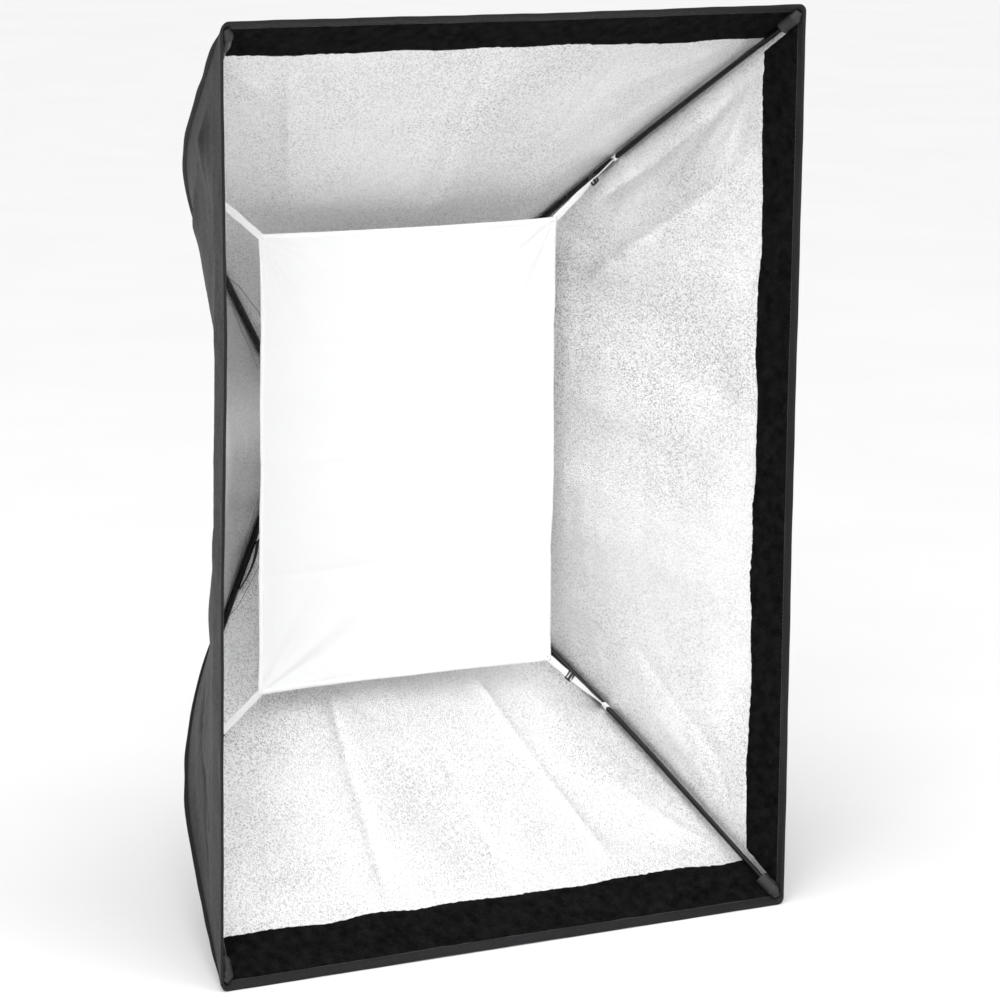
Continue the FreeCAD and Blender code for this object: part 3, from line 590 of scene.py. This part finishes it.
# painted highlight: the walls' outer face is the same black nylon as the lip, made lighter to stand for the
# highlight on it
HIGHLIT_OUTER = nylon_material("highlit_wall_nylon", (0.011, 0.011, 0.012), 1.9)
TRIM = nylon_material("hem_nylon", (0.007, 0.007, 0.0078), 1.7)
LOOP = loop_material()
WHITE = diffuser_material()
ELASTIC = elastic_material("white_elastic", (0.88, 0.88, 0.89))
WEBBING = elastic_material("black_webbing", (0.007, 0.007, 0.0075))
THREAD = elastic_material("grey_thread", (0.05, 0.05, 0.055))
LACQUER = lacquer_material()
VINYL = vinyl_material()
CAST = metal_material("cast_aluminium", (0.60, 0.61, 0.62), 0.34, 0.5, 420.0)
PLATED = metal_material("plated_steel", (0.62, 0.62, 0.60), 0.2, 0.34, 800.0)
KNOB = plastic_material("moulded_knob", (0.020, 0.020, 0.021))
CAP = plastic_material("moulded_cap", (0.008, 0.008, 0.009))
SHOE = plastic_material("nylon_shoe", (0.75, 0.73, 0.67))


# ---- the shell


def wall_grid(wall, depths, columns, edge_gap, inset):
    """Points of one wall's face at an inset from the outer face."""
    way = way_of(wall)
    depth = np.asarray(depths)[:, None]
    half = corners_at(depth)[1 - way]
    share = np.linspace(-1, 1, columns)[None, :]
    rounding = HEM_CORNER * 0.45 * (1 - smooth(depth, HEM_WIDTH, LIP_DEPTH))
    cross = share * (half - edge_gap - rounding)
    out = wall_out(wall, cross, depth, half) - inset
    return placed(wall, out, depth, cross)


def make_panel(wall):
    """One wall of laminated cloth: black outside and silver inside."""
    lip = np.linspace(3 * MM, LIP_DEPTH, 12, endpoint=False)
    depths = np.concatenate([lip, np.linspace(LIP_DEPTH, SHELL_END, 150)])
    columns = 260 if way_of(wall) == 0 else 200
    edge = 1.6 * MM
    outer = wall_grid(wall, depths, columns, edge, 0.0)
    inner = wall_grid(wall, depths, columns, edge, CLOTH)
    verts, faces, inside = thin_solid(outer, inner)
    face_depth = verts[faces].mean(1)[:, 1] - FRONT
    outer_cloth, lining, lip_cloth = range(3)
    kinds = np.where(inside == 1, lining, np.where(face_depth < LIP_DEPTH, lip_cloth, outer_cloth))
    # the outer face behind the lip takes the lighter nylon with the painted highlight
    piece = make_piece(f"shell_{wall}", (verts, faces), [HIGHLIT_OUTER, SILVER, BLACK],
                       [f"panel_{wall}"], kinds)
    middle = wall_grid(wall, depths, 3, edge, 0.0)[:, 1]


# The loop band's flat width, and how far it stops short of the corner: on the sides, on top and bottom.
TAPE_SIZES = ((45 * MM, 16 * MM), (54 * MM, 3.5 * MM))


def make_tape(wall):
    """The loop band inside the lip, with an uneven inner edge."""
    way = way_of(wall)
    band_width, mitre = TAPE_SIZES[way]
    seed = 50 + WALLS.index(wall)
    share_across = np.linspace(-1, 1, 420)[None, :]
    share_along = np.linspace(0, 1, 14)[:, None]
    start, end = HEM_WIDTH - 1.5 * MM, LIP_DEPTH
    rough_half = corners_at(np.array([[end]]))[1 - way]
    wander = 1.3 * MM * ripple(share_across * rough_half, 0.0, 0.12, seed, spread=0.8)
    frayed = 0.25 * MM * ripple(share_across * rough_half, 0.0, 0.008, seed + 7)
    depth = start + (end + wander + frayed - start) * share_along
    half = corners_at(depth)[1 - way]
    cross = share_across * (half - mitre)
    base = wall_out(wall, cross, depth, half) - CLOTH - 0.25 * MM
    pile = 1.5 * MM + 0.18 * MM * ripple(cross, depth, 0.011, seed + 3)
    rounding = 1 - 0.65 * np.exp(-np.minimum(share_along, 1 - share_along) * 22)
    outer = placed(wall, base, depth, cross)
    inner = placed(wall, base - pile * rounding, depth, cross)
    piece = make_piece(f"lip_tape_{wall}", thin_solid(outer, inner)[:2], [LOOP],
                       [f"loop_tape_{wall}"])


def front_loop():
    """Points round the front rectangle: each corner's signs and round offset, and the outward direction."""
    points, outs = [], []
    for k, (sx, sz) in enumerate(QUADRANTS):
        next_x, next_z = QUADRANTS[(k + 1) % 4]
        stops = [(0.0, angle) for angle in np.linspace(0, math.pi / 2, 9)]
        stops += [(share, math.pi / 2) for share in np.linspace(0, 1, 152)[1:-1]]
        for share, angle in stops:
            out = math.cos(angle + k * math.pi / 2), math.sin(angle + k * math.pi / 2)
            place = sx + (next_x - sx) * share, sz + (next_z - sz) * share
            points.append((*place, HEM_CORNER * out[0], HEM_CORNER * out[1]))
            outs.append(out)
    return list(zip(np.array(points), np.array(outs)))


def hem_point(stop, depth, lift):
    """A point on the front border at a depth, lifted off the shell's outer face."""
    (sx, sz, round_x, round_z), (out_x, out_z) = stop
    across, up = (float(half) for half in corners_at(depth))
    x, z = sx * (across - HEM_CORNER) + round_x, sz * (up - HEM_CORNER) + round_z
    side = "right" if out_x > 0 else "left"
    level = "top" if out_z > 0 else "bottom"
    lift_x = lift - float(front_bow(side, z, depth)) * (1 - (z / up) ** 2)
    lift_z = lift - float(front_bow(level, x, depth)) * (1 - (x / across) ** 2)
    return np.array([x + out_x * lift_x, FRONT + depth, z + out_z * lift_z])


def make_hem():
    """The folded nylon binding round the front edge, whose rear edges wander a little."""
    # Depth and lift off the shell's outer face, in millimetres, round the fold.
    outline = (
        (9.6, 0.2), (7.0, 0.7), (4.0, 0.8), (1.5, 0.8), (0.3, 0.4), (-0.1, -0.6),
        (0.1, -1.8), (1.0, -2.5), (4.0, -2.5), (7.5, -2.4), (9.8, -1.7), (9.9, -1.2),
        (7.0, -1.4), (3.0, -1.2), (2.4, -0.6), (3.0, 0.0), (7.0, 0.0),
    )
    stops = front_loop()
    rings = []
    for i, stop in enumerate(stops):
        arc = i / len(stops) * math.tau
        wobble = 0.35 * MM * (math.sin(23 * arc) + 0.6 * math.sin(61 * arc + 1.0))
        ring = []
        for depth, lift in outline:
            edge_wobble = 0.35 * wobble if depth > 5 else 0.0
            ring.append(hem_point(stop, depth * MM + edge_wobble, lift * MM + wobble * 0.5))
        rings.append(ring)
    make_piece("front_binding", lofted(rings, closed=True), [TRIM], ["front_hem"])


def bar(start, end, up, width, height):
    """Eight corners of a small bar from start to end."""
    rise, side = frame_of(end - start, up)
    signs = ((-1, -1), (1, -1), (1, 1), (-1, 1))
    return [place + rise * a * height / 2 + side * b * width / 2 for place in (start, end) for a, b in signs]


BAR_FACES = ((0, 1, 2, 3), (7, 6, 5, 4), (0, 4, 5, 1), (1, 5, 6, 2), (2, 6, 7, 3), (3, 7, 4, 0))


def point_along(at, run, points):
    """The point at a distance along a line of points."""
    return np.array([np.interp(at, run, points[:, k]) for k in range(3)])


def make_stitches(name, lines, stitch, gap, thick):
    """Rows of sewn stitches. Each line is points, and the outward direction at each point."""
    verts, faces = [], []
    for points, ups in lines:
        points, ups = np.asarray(points), np.asarray(ups)
        steps = np.linalg.norm(np.diff(points, axis=0), axis=1)
        run = np.concatenate([[0], np.cumsum(steps)])
        at = 0.0
        while at + stitch < run[-1]:
            start, end = point_along(at, run, points), point_along(at + stitch, run, points)
            base = len(verts)
            verts.extend(bar(start, end, point_along(at, run, ups), thick, thick * 0.7))
            faces.extend(tuple(base + i for i in face) for face in BAR_FACES)
            at += stitch + gap
    make_piece(name, (verts, faces), [THREAD], rounded=False)


def make_hem_stitches():
    """The hem's row of stitches, outside and inside."""
    stops = front_loop()
    stops.append(stops[0])
    lines = []
    for lift in (0.85 * MM, -2.65 * MM):
        row = [hem_point(stop, 7.4 * MM, lift) for stop in stops]
        lines.append((row, [np.array([out[0], 0, out[1]]) * np.sign(lift) for _, out in stops]))
    make_stitches("hem_stitching", lines, 3.4 * MM, 1.3 * MM, 0.45 * MM)


def make_seam(name, signs):
    """The bound corner seam, a flat folded binding that stands out along each rod."""
    depths = np.linspace(5 * MM, SHELL_END, 150)
    across, up = corners_at(depths)
    tuck = HEM_CORNER * 0.3 * (1 - smooth(depths, HEM_WIDTH, LIP_DEPTH))
    centres = np.stack([across - tuck, FRONT + depths, up - tuck], -1)
    wave = 0.5 * MM * ripple(depths, 0.0, 0.05, 70 + list(CORNERS).index(name))
    out = unit(np.array([1.0, 0.0, 1.0]))
    centres = centres + out * (1.0 * MM * smooth(depths, 0.0, LIP_DEPTH) + wave)[:, None]
    ways = np.gradient(centres, axis=0)
    taper = 0.45 + 0.55 * smooth(depths, 0.0, LIP_DEPTH)
    rings = tube(centres, ways, np.repeat([out], len(depths), 0), 3.2 * MM * taper, 1.5 * MM * taper, 12, 2.6)
    make_piece(f"seam_binding_{name}", lofted(mirrored(rings, signs)), [BLACK],
               [f"corner_seam_{name}"])


def make_collar():
    """The gathered cloth collar between the walls and the sockets."""
    share = np.linspace(0, 1, 26)[:, None]
    angle = np.linspace(0, math.tau, 480, endpoint=False)[None, :]
    lap, lift, end_gap = 6 * MM, 1.1 * MM, 7.5 * MM
    start, end_half = SHELL_END - lap, RING_RADIUS + end_gap
    depth = start + (COLLAR_END - start) * share
    half_x, half_z = (
        np.interp(depth, (start, SHELL_END, COLLAR_END), (float(first) + lift, last + lift, end_half))
        for first, last in zip(corners_at(start), END_CORNER)
    )
    power = 40 - 32 * share
    cosine, sine = np.cos(angle), np.sin(angle)
    reach = (np.abs(cosine) ** power + np.abs(sine) ** power) ** (-1 / power)
    gathers = (np.sin(46 * angle) + 0.5 * np.sin(71 * angle + 1)) * 0.35 * MM * smooth(share, 0.3, 0.9)
    roll = 0.9 * MM * np.exp(-((share - 0.94) / 0.05) ** 2) - 0.8 * MM * np.exp(-((share - 0.82) / 0.04) ** 2)
    faces_of_cloth = []
    for inset in (0.0, CLOTH * 0.9):
        x = (half_x + gathers + roll - inset) * reach * cosine
        z = (half_z + gathers + roll - inset) * reach * sine
        faces_of_cloth.append(np.stack([x, np.broadcast_to(FRONT + depth, x.shape), z], -1))
    outer, inner = faces_of_cloth
    rings = np.concatenate([outer, inner[::-1]])
    piece = make_piece("collar_cloth", lofted(rings, closed=True), [BLACK], ["rear_collar"])


# ---- baffle and straps

# Where the baffle was folded in its bag: heights of the level folds, and the place of the upright one.
FOLDS_UP = (0.130, 0.004, -0.122)
FOLD_ACROSS = 0.006

# Each slider's share of the way from the baffle to the rod; the lower right one sits further in.
SLIDER_PLACE, SLIDER_PLACE_LOW = 0.66, 0.38


def baffle_offset(x, z):
    """How far the baffle's cloth stands towards the front, from folds, slack and pull at its corners."""
    shift = 1.1 * MM * ripple(x, z, 0.26, 81) + 0.35 * MM * ripple(x, z, 0.06, 82)
    for k, height in enumerate(FOLDS_UP):
        line = z - height - 0.0015 * np.sin(x * 18 + k)
        shift = shift + (1.5 if k % 2 else -1.5) * MM * np.exp(-np.abs(line) / (5 * MM))
    shift = shift + 1.3 * MM * np.exp(-np.abs(x - FOLD_ACROSS) / (5 * MM))
    for sx in (-1, 1):
        for sz in (-1, 1):
            inwards, down = BAFFLE_HALF_X - sx * x, BAFFLE_HALF_Z - sz * z
            radius, angle = np.hypot(inwards, down), np.arctan2(down, inwards)
            fan = np.sin(14 * angle + sx) + 0.5 * np.sin(25 * angle + sz)
            shift = shift + 1.5 * MM * fan * np.exp(-((radius / 0.13) ** 2)) * smooth(radius, 0.004, 0.03)
    return shift


def baffle_edge(share_x, share_z):
    """Plan position in the baffle, with its four edges pulled in slightly between the corners."""
    x = share_x * BAFFLE_HALF_X * (1 - 0.012 * (1 - share_z**2))
    z = share_z * BAFFLE_HALF_Z * (1 - 0.008 * (1 - share_x**2))
    return x, z


def make_baffle():
    """The white cloth across the middle, a thin sheet in its doubled border."""
    share_x, share_z = np.meshgrid(np.linspace(-1, 1, 180), np.linspace(-1, 1, 240))
    x, z = baffle_edge(share_x, share_z)
    y = BAFFLE_Y - baffle_offset(x, z)
    half_thick = 0.2 * MM
    front, back = (np.stack([x, y + shift, z], -1) for shift in (-half_thick, half_thick))
    piece = make_piece("baffle_cloth", thin_solid(front, back)[:2], [WHITE], ["baffle"])
    hem = make_baffle_hem()


def baffle_loop(samples):
    """Shares round the baffle's edge, with the inward direction in plan."""
    shares, inward = [], []
    corners = ((-1, -1), (1, -1), (1, 1), (-1, 1))
    for k, (sx, sz) in enumerate(corners):
        next_x, next_z = corners[(k + 1) % 4]
        for share in np.linspace(0, 1, samples, endpoint=False):
            shares.append((sx + (next_x - sx) * share, sz + (next_z - sz) * share))
            at_corner = share == 0
            inward.append((-sx if at_corner or sx == next_x else 0, -sz if at_corner or sz == next_z else 0))
    return np.array(shares), np.array(inward)


def make_baffle_hem():
    """The doubled border of the baffle."""
    shares, inward = baffle_loop(110)
    width, half_thick = 6.0 * MM, 0.7 * MM
    outline = (
        (0.0, 0.9), (0.0, -0.9), (0.5, -1.1), (0.93, -1.0), (1.0, -0.3), (1.0, 0.3), (0.93, 1.0), (0.5, 1.1),
    )
    edge = np.stack(baffle_edge(shares[:, 0], shares[:, 1]), -1)
    rings = []
    for place, way in zip(edge, inward):
        ring = []
        for share, lift in outline:
            x, z = place + way * width * share
            ring.append((x, BAFFLE_Y - float(baffle_offset(x, z)) - lift * half_thick, z))
        rings.append(ring)
    return make_piece("baffle_border", lofted(rings, closed=True), [WHITE], ["baffle_hem"])


def rod_loop(centre, rod_way, to_rod):
    """The band of elastic sewn round the rod."""
    across = np.cross(rod_way, to_rod)
    section = ((-1, 0.15), (-1, 0.85), (-0.8, 1.0), (0.8, 1.0), (1, 0.85), (1, 0.15), (0.8, 0.0), (-0.8, 0.0))
    clear, thick = 0.1 * MM, 1.1 * MM
    rings = []
    for angle in np.linspace(0, math.tau, 40, endpoint=False):
        radial = to_rod * math.cos(angle) + across * math.sin(angle)
        rings.append([
            centre + rod_way * side * STRAP_WIDTH / 2 + radial * (ROD_RADIUS + clear + thick * lift)
            for side, lift in section
        ])
    return rings


def make_strap(name, signs):
    """A flat elastic from the baffle's corner to the rod, with a loop round the rod."""
    start = np.array([BAFFLE_HALF_X - 3 * MM, BAFFLE_Y, BAFFLE_HALF_Z - 3 * MM])
    start[1] -= float(baffle_offset(signs[0] * start[0], signs[1] * start[2]))
    centre = rod_at(STRAP_DEPTH)
    rod_way = unit(rod_at(STRAP_DEPTH - 10 * MM) - rod_at(STRAP_DEPTH + 10 * MM))
    to_rod = unit(centre - start)
    end = centre - to_rod * (ROD_RADIUS + 0.9 * MM)
    count = 40
    share = np.linspace(0, 1, count)[:, None]
    side = np.array([-to_rod[2], 0.0, to_rod[0]])
    twist = smooth(share, 0.15, 0.95)
    hints = unit_rows(side * (1 - twist) + rod_way * twist)
    wide = STRAP_WIDTH / 2 + 0.25 * MM * np.sin(np.linspace(0, 20, count))
    ways = np.repeat([to_rod], count, 0)
    band = tube(start + (end - start) * share, ways, hints, wide, 0.55 * MM, 12, 4.0)
    solids = [
        lofted(mirrored(band, signs)),
        lofted(mirrored(rod_loop(centre, rod_way, to_rod), signs), closed=True),
    ]
    make_piece(f"baffle_elastic_{name}", joined(solids), [ELASTIC], [f"baffle_strap_{name}"])
    make_slider(name, signs, start, end, to_rod, side)


def rounded_frame(half_x, half_y, radius, samples=6):
    """Points round a rectangle with round corners."""
    points = []
    for k, (sx, sy) in enumerate(QUADRANTS):
        for angle in np.linspace(0, math.pi / 2, samples) + k * math.pi / 2:
            points.append((sx * (half_x - radius) + radius * math.cos(angle),
                           sy * (half_y - radius) + radius * math.sin(angle)))
    return np.array(points)


def make_slider(name, signs, start, end, along_strap, side):
    """A moulded three-bar slider that sets the elastic's length."""
    place = start + (end - start) * (SLIDER_PLACE_LOW if name == "bottom_right" else SLIDER_PLACE)
    up = np.cross(along_strap, unit(side))
    side = np.cross(up, along_strap)
    half_length, half_width = 4.2 * MM, 4.8 * MM
    path = rounded_frame(half_length, half_width, 1.2 * MM)
    angles = np.linspace(0, math.tau, 10, endpoint=False)
    rings = []
    for i, point in enumerate(path):
        tangent = path[(i + 1) % len(path)] - path[i - 1]
        normal = np.array([tangent[1], -tangent[0]]) / np.linalg.norm(tangent)
        plan = point + np.outer(1.2 * MM * np.cos(angles), normal)
        rings.append(place + np.outer(plan[:, 0], along_strap) + np.outer(plan[:, 1], side)
                     + np.outer(1.3 * MM * np.sin(angles), up))
    count = 12
    centres = place + np.outer(np.linspace(-half_width, half_width, count), side) + up * 1.4 * MM
    ways, hints = np.repeat([side], count, 0), np.repeat([along_strap], count, 0)
    middle_bar = tube(centres, ways, hints, 1.7 * MM, 0.8 * MM, 10, 2.5)
    solids = [lofted(mirrored(rings, signs), closed=True), lofted(mirrored(middle_bar, signs))]
    make_piece(f"slider_{name}", joined(solids), [CAP], [f"strap_slider_{name}"])


# ---- corner sleeves, tie and patches


def make_pocket(name, signs):
    """A flattened vinyl sleeve, sewn into the corner, that takes the rod's tip."""
    lip, closing = (-19.4, -19.0, -18.2), 8
    mouth = np.concatenate([lip, np.linspace(-17, 0, 12)]) * MM
    along_rod = ROD_TIP + np.outer(mouth, LAST_WAY)
    corner = np.array([HALF_WIDTH - 6.5 * MM, FRONT + 4.5 * MM, HALF_HEIGHT - 8.0 * MM])
    to_corner = ROD_TIP + np.outer(np.linspace(0.15, 1, closing), corner - ROD_TIP)
    centres = np.concatenate([along_rod, to_corner])
    ways = unit_rows(np.gradient(centres, axis=0))
    hint = np.cross(LAST_WAY, unit(np.array([1.0, 0.0, 1.0])))
    hints = np.repeat([hint], len(centres), 0)
    ease, flare = np.ones(len(centres)), np.ones(len(centres))
    ease[-closing:] = np.linspace(1.0, 0.0, closing) ** 2 * 0.35 + 0.65
    flare[:len(lip)] = 1.06, 1.09, 1.06
    outer = tube(centres, ways, hints, 7.4 * MM * ease * flare, 5.0 * MM * ease * flare, 32, 2.4)
    hollow = len(centres) - 3
    inner = tube(centres[:hollow], ways, hints, 6.5 * MM * ease[:hollow], 4.1 * MM * ease[:hollow], 32, 2.4)
    rings = np.concatenate([outer[::-1], inner])
    make_piece(f"corner_sleeve_{name}", lofted(mirrored(rings, signs)), [VINYL],
               [f"corner_pocket_{name}"])


def make_tie():
    """The slack webbing tie beside the lower left rod."""
    low, high = (np.array(corner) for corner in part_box("tie_strap"))
    half_length, sag, count = 33 * MM, 5 * MM, 60
    rod_way = mirrored(unit(rod_at(0.375) - rod_at(0.395)), (-1, -1))
    side = np.array([1.0, 0.0, 0.0])
    share = np.linspace(-1, 1, count)
    bow = (0.45 - share**2) * sag
    centres = (low + high) / 2 + np.outer(share * half_length, rod_way) + np.outer(bow, side)
    ways = unit_rows(np.gradient(centres, axis=0))
    hints = np.repeat([np.cross(side, rod_way)], count, 0)
    rings = tube(centres, ways, hints, 5 * MM, 0.55 * MM, 12, 4.0)
    make_piece("tie_webbing", lofted(rings), [WEBBING], ["tie_strap"])


def make_patches():
    """Stitch lines of the reinforcing patches at the rear corners, on the lining."""
    # Distance from the corner seam, and depth.
    outline = ((2 * MM, 0.350), (18 * MM, 0.362), (26 * MM, 0.386), (26 * MM, 0.424))
    steps = np.linspace(0, len(outline) - 1, 60)
    from_edge, depth = (np.interp(steps, range(len(outline)), column) for column in zip(*outline))
    lines = []
    for wall in WALLS:
        half = corners_at(depth)[1 - way_of(wall)]
        inwards = np.repeat([placed(wall, -1.0, 0.0, 0.0) * np.array([1, 0, 1])], len(steps), 0)
        for sign in (-1, 1):
            cross = sign * (half - from_edge)
            out = wall_out(wall, cross, depth, half) - CLOTH - 0.1 * MM
            lines.append((placed(wall, out, depth, cross), inwards))
    make_stitches("patch_stitching", lines, 2.4 * MM, 0.6 * MM, 0.5 * MM)


# ---- ring, screws and knob


def lathed(profile, sides, shape):
    """Rings about Z from (radius, height) pairs; shape changes a row's radius with the angle."""
    angles = np.linspace(0, math.tau, sides, endpoint=False)
    rings = []
    for row, (radius, height) in enumerate(profile):
        reach = radius * shape(row, angles)
        rings.append(np.stack([reach * np.cos(angles), reach * np.sin(angles), np.full(sides, height)], -1))
    return np.array(rings)


def make_screws(node, places, head_radius, head_height, shank_radius, shank_length):
    """Socket-head screws with rounded heads and hexagonal recesses, as one piece."""
    recess = 0.52 * head_radius
    turned_rows = (
        (shank_radius * 0.8, -shank_length), (shank_radius, -shank_length + 0.4 * MM), (shank_radius, 0.0),
        (head_radius, 0.0), (head_radius, head_height * 0.75), (head_radius * 0.93, head_height * 0.94),
        (head_radius * 0.84, head_height), (recess * 1.12, head_height),
    )
    hexagon_rows = (recess, head_height * 0.93), (recess, head_height * 0.35)

    def hexagon(row, angles):
        if row < len(turned_rows):
            return np.ones_like(angles)
        return math.cos(math.pi / 6) / np.cos((angles % (math.pi / 3)) - math.pi / 6)

    rings = lathed(turned_rows + hexagon_rows, 36, hexagon)
    solids = []
    for centre, axis in places:
        first, second = frame_of(axis, np.array([0.1, 0.9, 0.3]))
        solids.append(lofted(rings @ np.stack([first, second, unit(axis)]) + centre))
    make_piece(node + "_detailed", joined(solids), [PLATED], [node])


def make_fasteners():
    """The retaining ring's four screws, and the four that hold the rod sockets."""
    head_height = 1.8 * MM
    circle, seat_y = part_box("retaining_ring")[1].x - 3.1 * MM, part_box("ring_screws")[0].y + head_height
    places = []
    for quarter in range(4):
        angle = math.radians(22.5 + 90 * quarter)
        centre = np.array([math.sin(angle) * circle, seat_y, math.cos(angle) * circle])
        places.append((centre, np.array([0.0, -1.0, 0.0])))
    make_screws("ring_screws", places, 2.9 * MM, head_height, 1.4 * MM, 7.5 * MM)
    ring_y = (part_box("speedring")[0].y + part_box("speedring")[1].y) / 2
    foot_gap, foot_height = 0.1 * MM, 10.4 * MM
    seat = RING_RADIUS + foot_gap + foot_height
    places = []
    for sx, sz in CORNERS.values():
        axis = unit(np.array([sx, 0.0, sz], float))
        places.append((axis * seat + np.array([0.0, ring_y, 0.0]), axis))
    make_screws("socket_screws", places, 3.6 * MM, 2.5 * MM, 1.9 * MM, 16 * MM)


def make_knob():
    """The lobed thumbscrew knob, with rounded edges and a dished top."""
    low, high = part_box("lock_knob")
    height, radius = high.z - low.z, (high.x - low.x) / 2
    centre = np.array([0.0, (low.y + high.y) / 2, low.z])
    profile = (
        (0.40, 0.0), (0.80, 0.0), (0.93, 0.05), (1.0, 0.16), (1.0, 0.80), (0.985, 0.90), (0.93, 0.97),
        (0.84, 1.0), (0.70, 1.0), (0.62, 0.97), (0.58, 0.90), (0.20, 0.86),
    )
    lobed_rows = range(1, 8)

    def lobes(row, angles):
        if row not in lobed_rows:
            return np.ones_like(angles)
        return 1 - 0.13 * np.clip(np.cos(7 * angles), 0, 1) ** 2

    rings = lathed([(share * radius, rise * height) for share, rise in profile], 168, lobes) + centre
    make_piece("knob_grip", lofted(rings), [KNOB], ["lock_knob"], body="lock_knob")


def finish_hardware():
    """Materials for the CAD pieces that are shown as they are."""
    looks = {"mount_ring": CAST, "speedring": CAST, "retaining_ring": PLATED, "lock_shoe": SHOE,
             "lock_screw": PLATED}
    for name in CORNERS:
        looks[f"rod_socket_{name}"] = CAST
        looks[f"rod_{name}"] = LACQUER
        looks[f"rod_cap_{name}"] = CAP
    for node, material in looks.items():
        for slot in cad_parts[node].material_slots:
            slot.material = material


# ---- floor, lights and camera


def make_stage():
    """A pale floor under the front rim, and the sky."""
    size = 40.0
    mesh = bpy.data.meshes.new("floor")
    z = cad_box[0][2] - 0.5 * MM
    corners = [(-size, -size, z), (size, -size, z), (size, size, z), (-size, size, z)]
    mesh.from_pydata(corners, [], [(0, 1, 2, 3)])
    floor = bpy.data.objects.new("floor", mesh)
    show(floor)
    paper = Shader("paper_floor")
    tone = paper.noise(3.0, 2.0, 0.5)
    shade = paper.ramp(tone, [(0.3, (0.93, 0.93, 0.93)), (0.7, (0.95, 0.95, 0.95))])
    mesh.materials.append(paper.finish(shade, 0.9))
    world = bpy.data.worlds.new("studio")
    world.use_nodes = True
    sky = world.node_tree.nodes["Background"]
    sky.inputs["Color"].default_value = (1.0, 1.0, 1.0, 1.0)
    sky.inputs["Strength"].default_value = 0.45
    bpy.context.scene.world = world


def add_lamp(light, place, way):
    """Puts a light in its place, shining along a direction."""
    lamp = bpy.data.objects.new(light.name, light)
    show(lamp)
    lamp.location = place
    lamp.rotation_euler = way.to_track_quat("-Z", "Y").to_euler()


def add_panel_light(name, place, target, side, power):
    """A square soft light that faces a target."""
    light = bpy.data.lights.new(name, "AREA")
    light.shape = "RECTANGLE"
    light.size = light.size_y = side
    light.energy = power
    add_lamp(light, place, Vector(target) - Vector(place))


def add_sun():
    """Broad soft daylight from above the front, so that the floor stays even to the horizon."""
    light = bpy.data.lights.new("sky_panel", "SUN")
    light.energy = 2.0
    light.angle = 1.2
    add_lamp(light, (0.0, 0.0, 0.0), Vector((0.3, 0.4, -0.87)))


def add_camera():
    """The photograph's viewpoint: left of the front and a little above, with a long lens."""
    camera = bpy.data.cameras.new("camera")
    camera.sensor_width = 36.0
    camera.lens = 151.93
    camera.clip_end = 60.0
    eye = bpy.data.objects.new("camera", camera)
    show(eye)
    right = Vector((0.86346, -0.50427, 0.01194))
    down = Vector((-0.08353, -0.16630, -0.98253))
    forward = Vector((0.49745, 0.84738, -0.18572))
    turn = Matrix((right, -down, -forward)).transposed()
    eye.matrix_world = Matrix.Translation(Vector((-2.22973, FRONT - 3.75819, 0.81411))) @ turn.to_4x4()
    bpy.context.scene.camera = eye


for wall_name in WALLS:
    make_panel(wall_name)
    make_tape(wall_name)
make_hem()
make_hem_stitches()
make_collar()
make_baffle()
for corner_name, corner_signs in CORNERS.items():
    make_seam(corner_name, corner_signs)
    make_strap(corner_name, corner_signs)
    make_pocket(corner_name, corner_signs)
make_tie()
make_patches()
make_fasteners()
make_knob()
finish_hardware()
make_stage()
add_panel_light("key", (-2.6, -3.6, 2.2), (0.0, -0.3, 0.0), 2.2, 84)
add_panel_light("fill", (1.8, -4.0, 1.0), (0.0, -0.3, 0.0), 2.0, 26)
add_sun()
add_camera()
bpy.context.scene.view_settings.view_transform = "Standard"
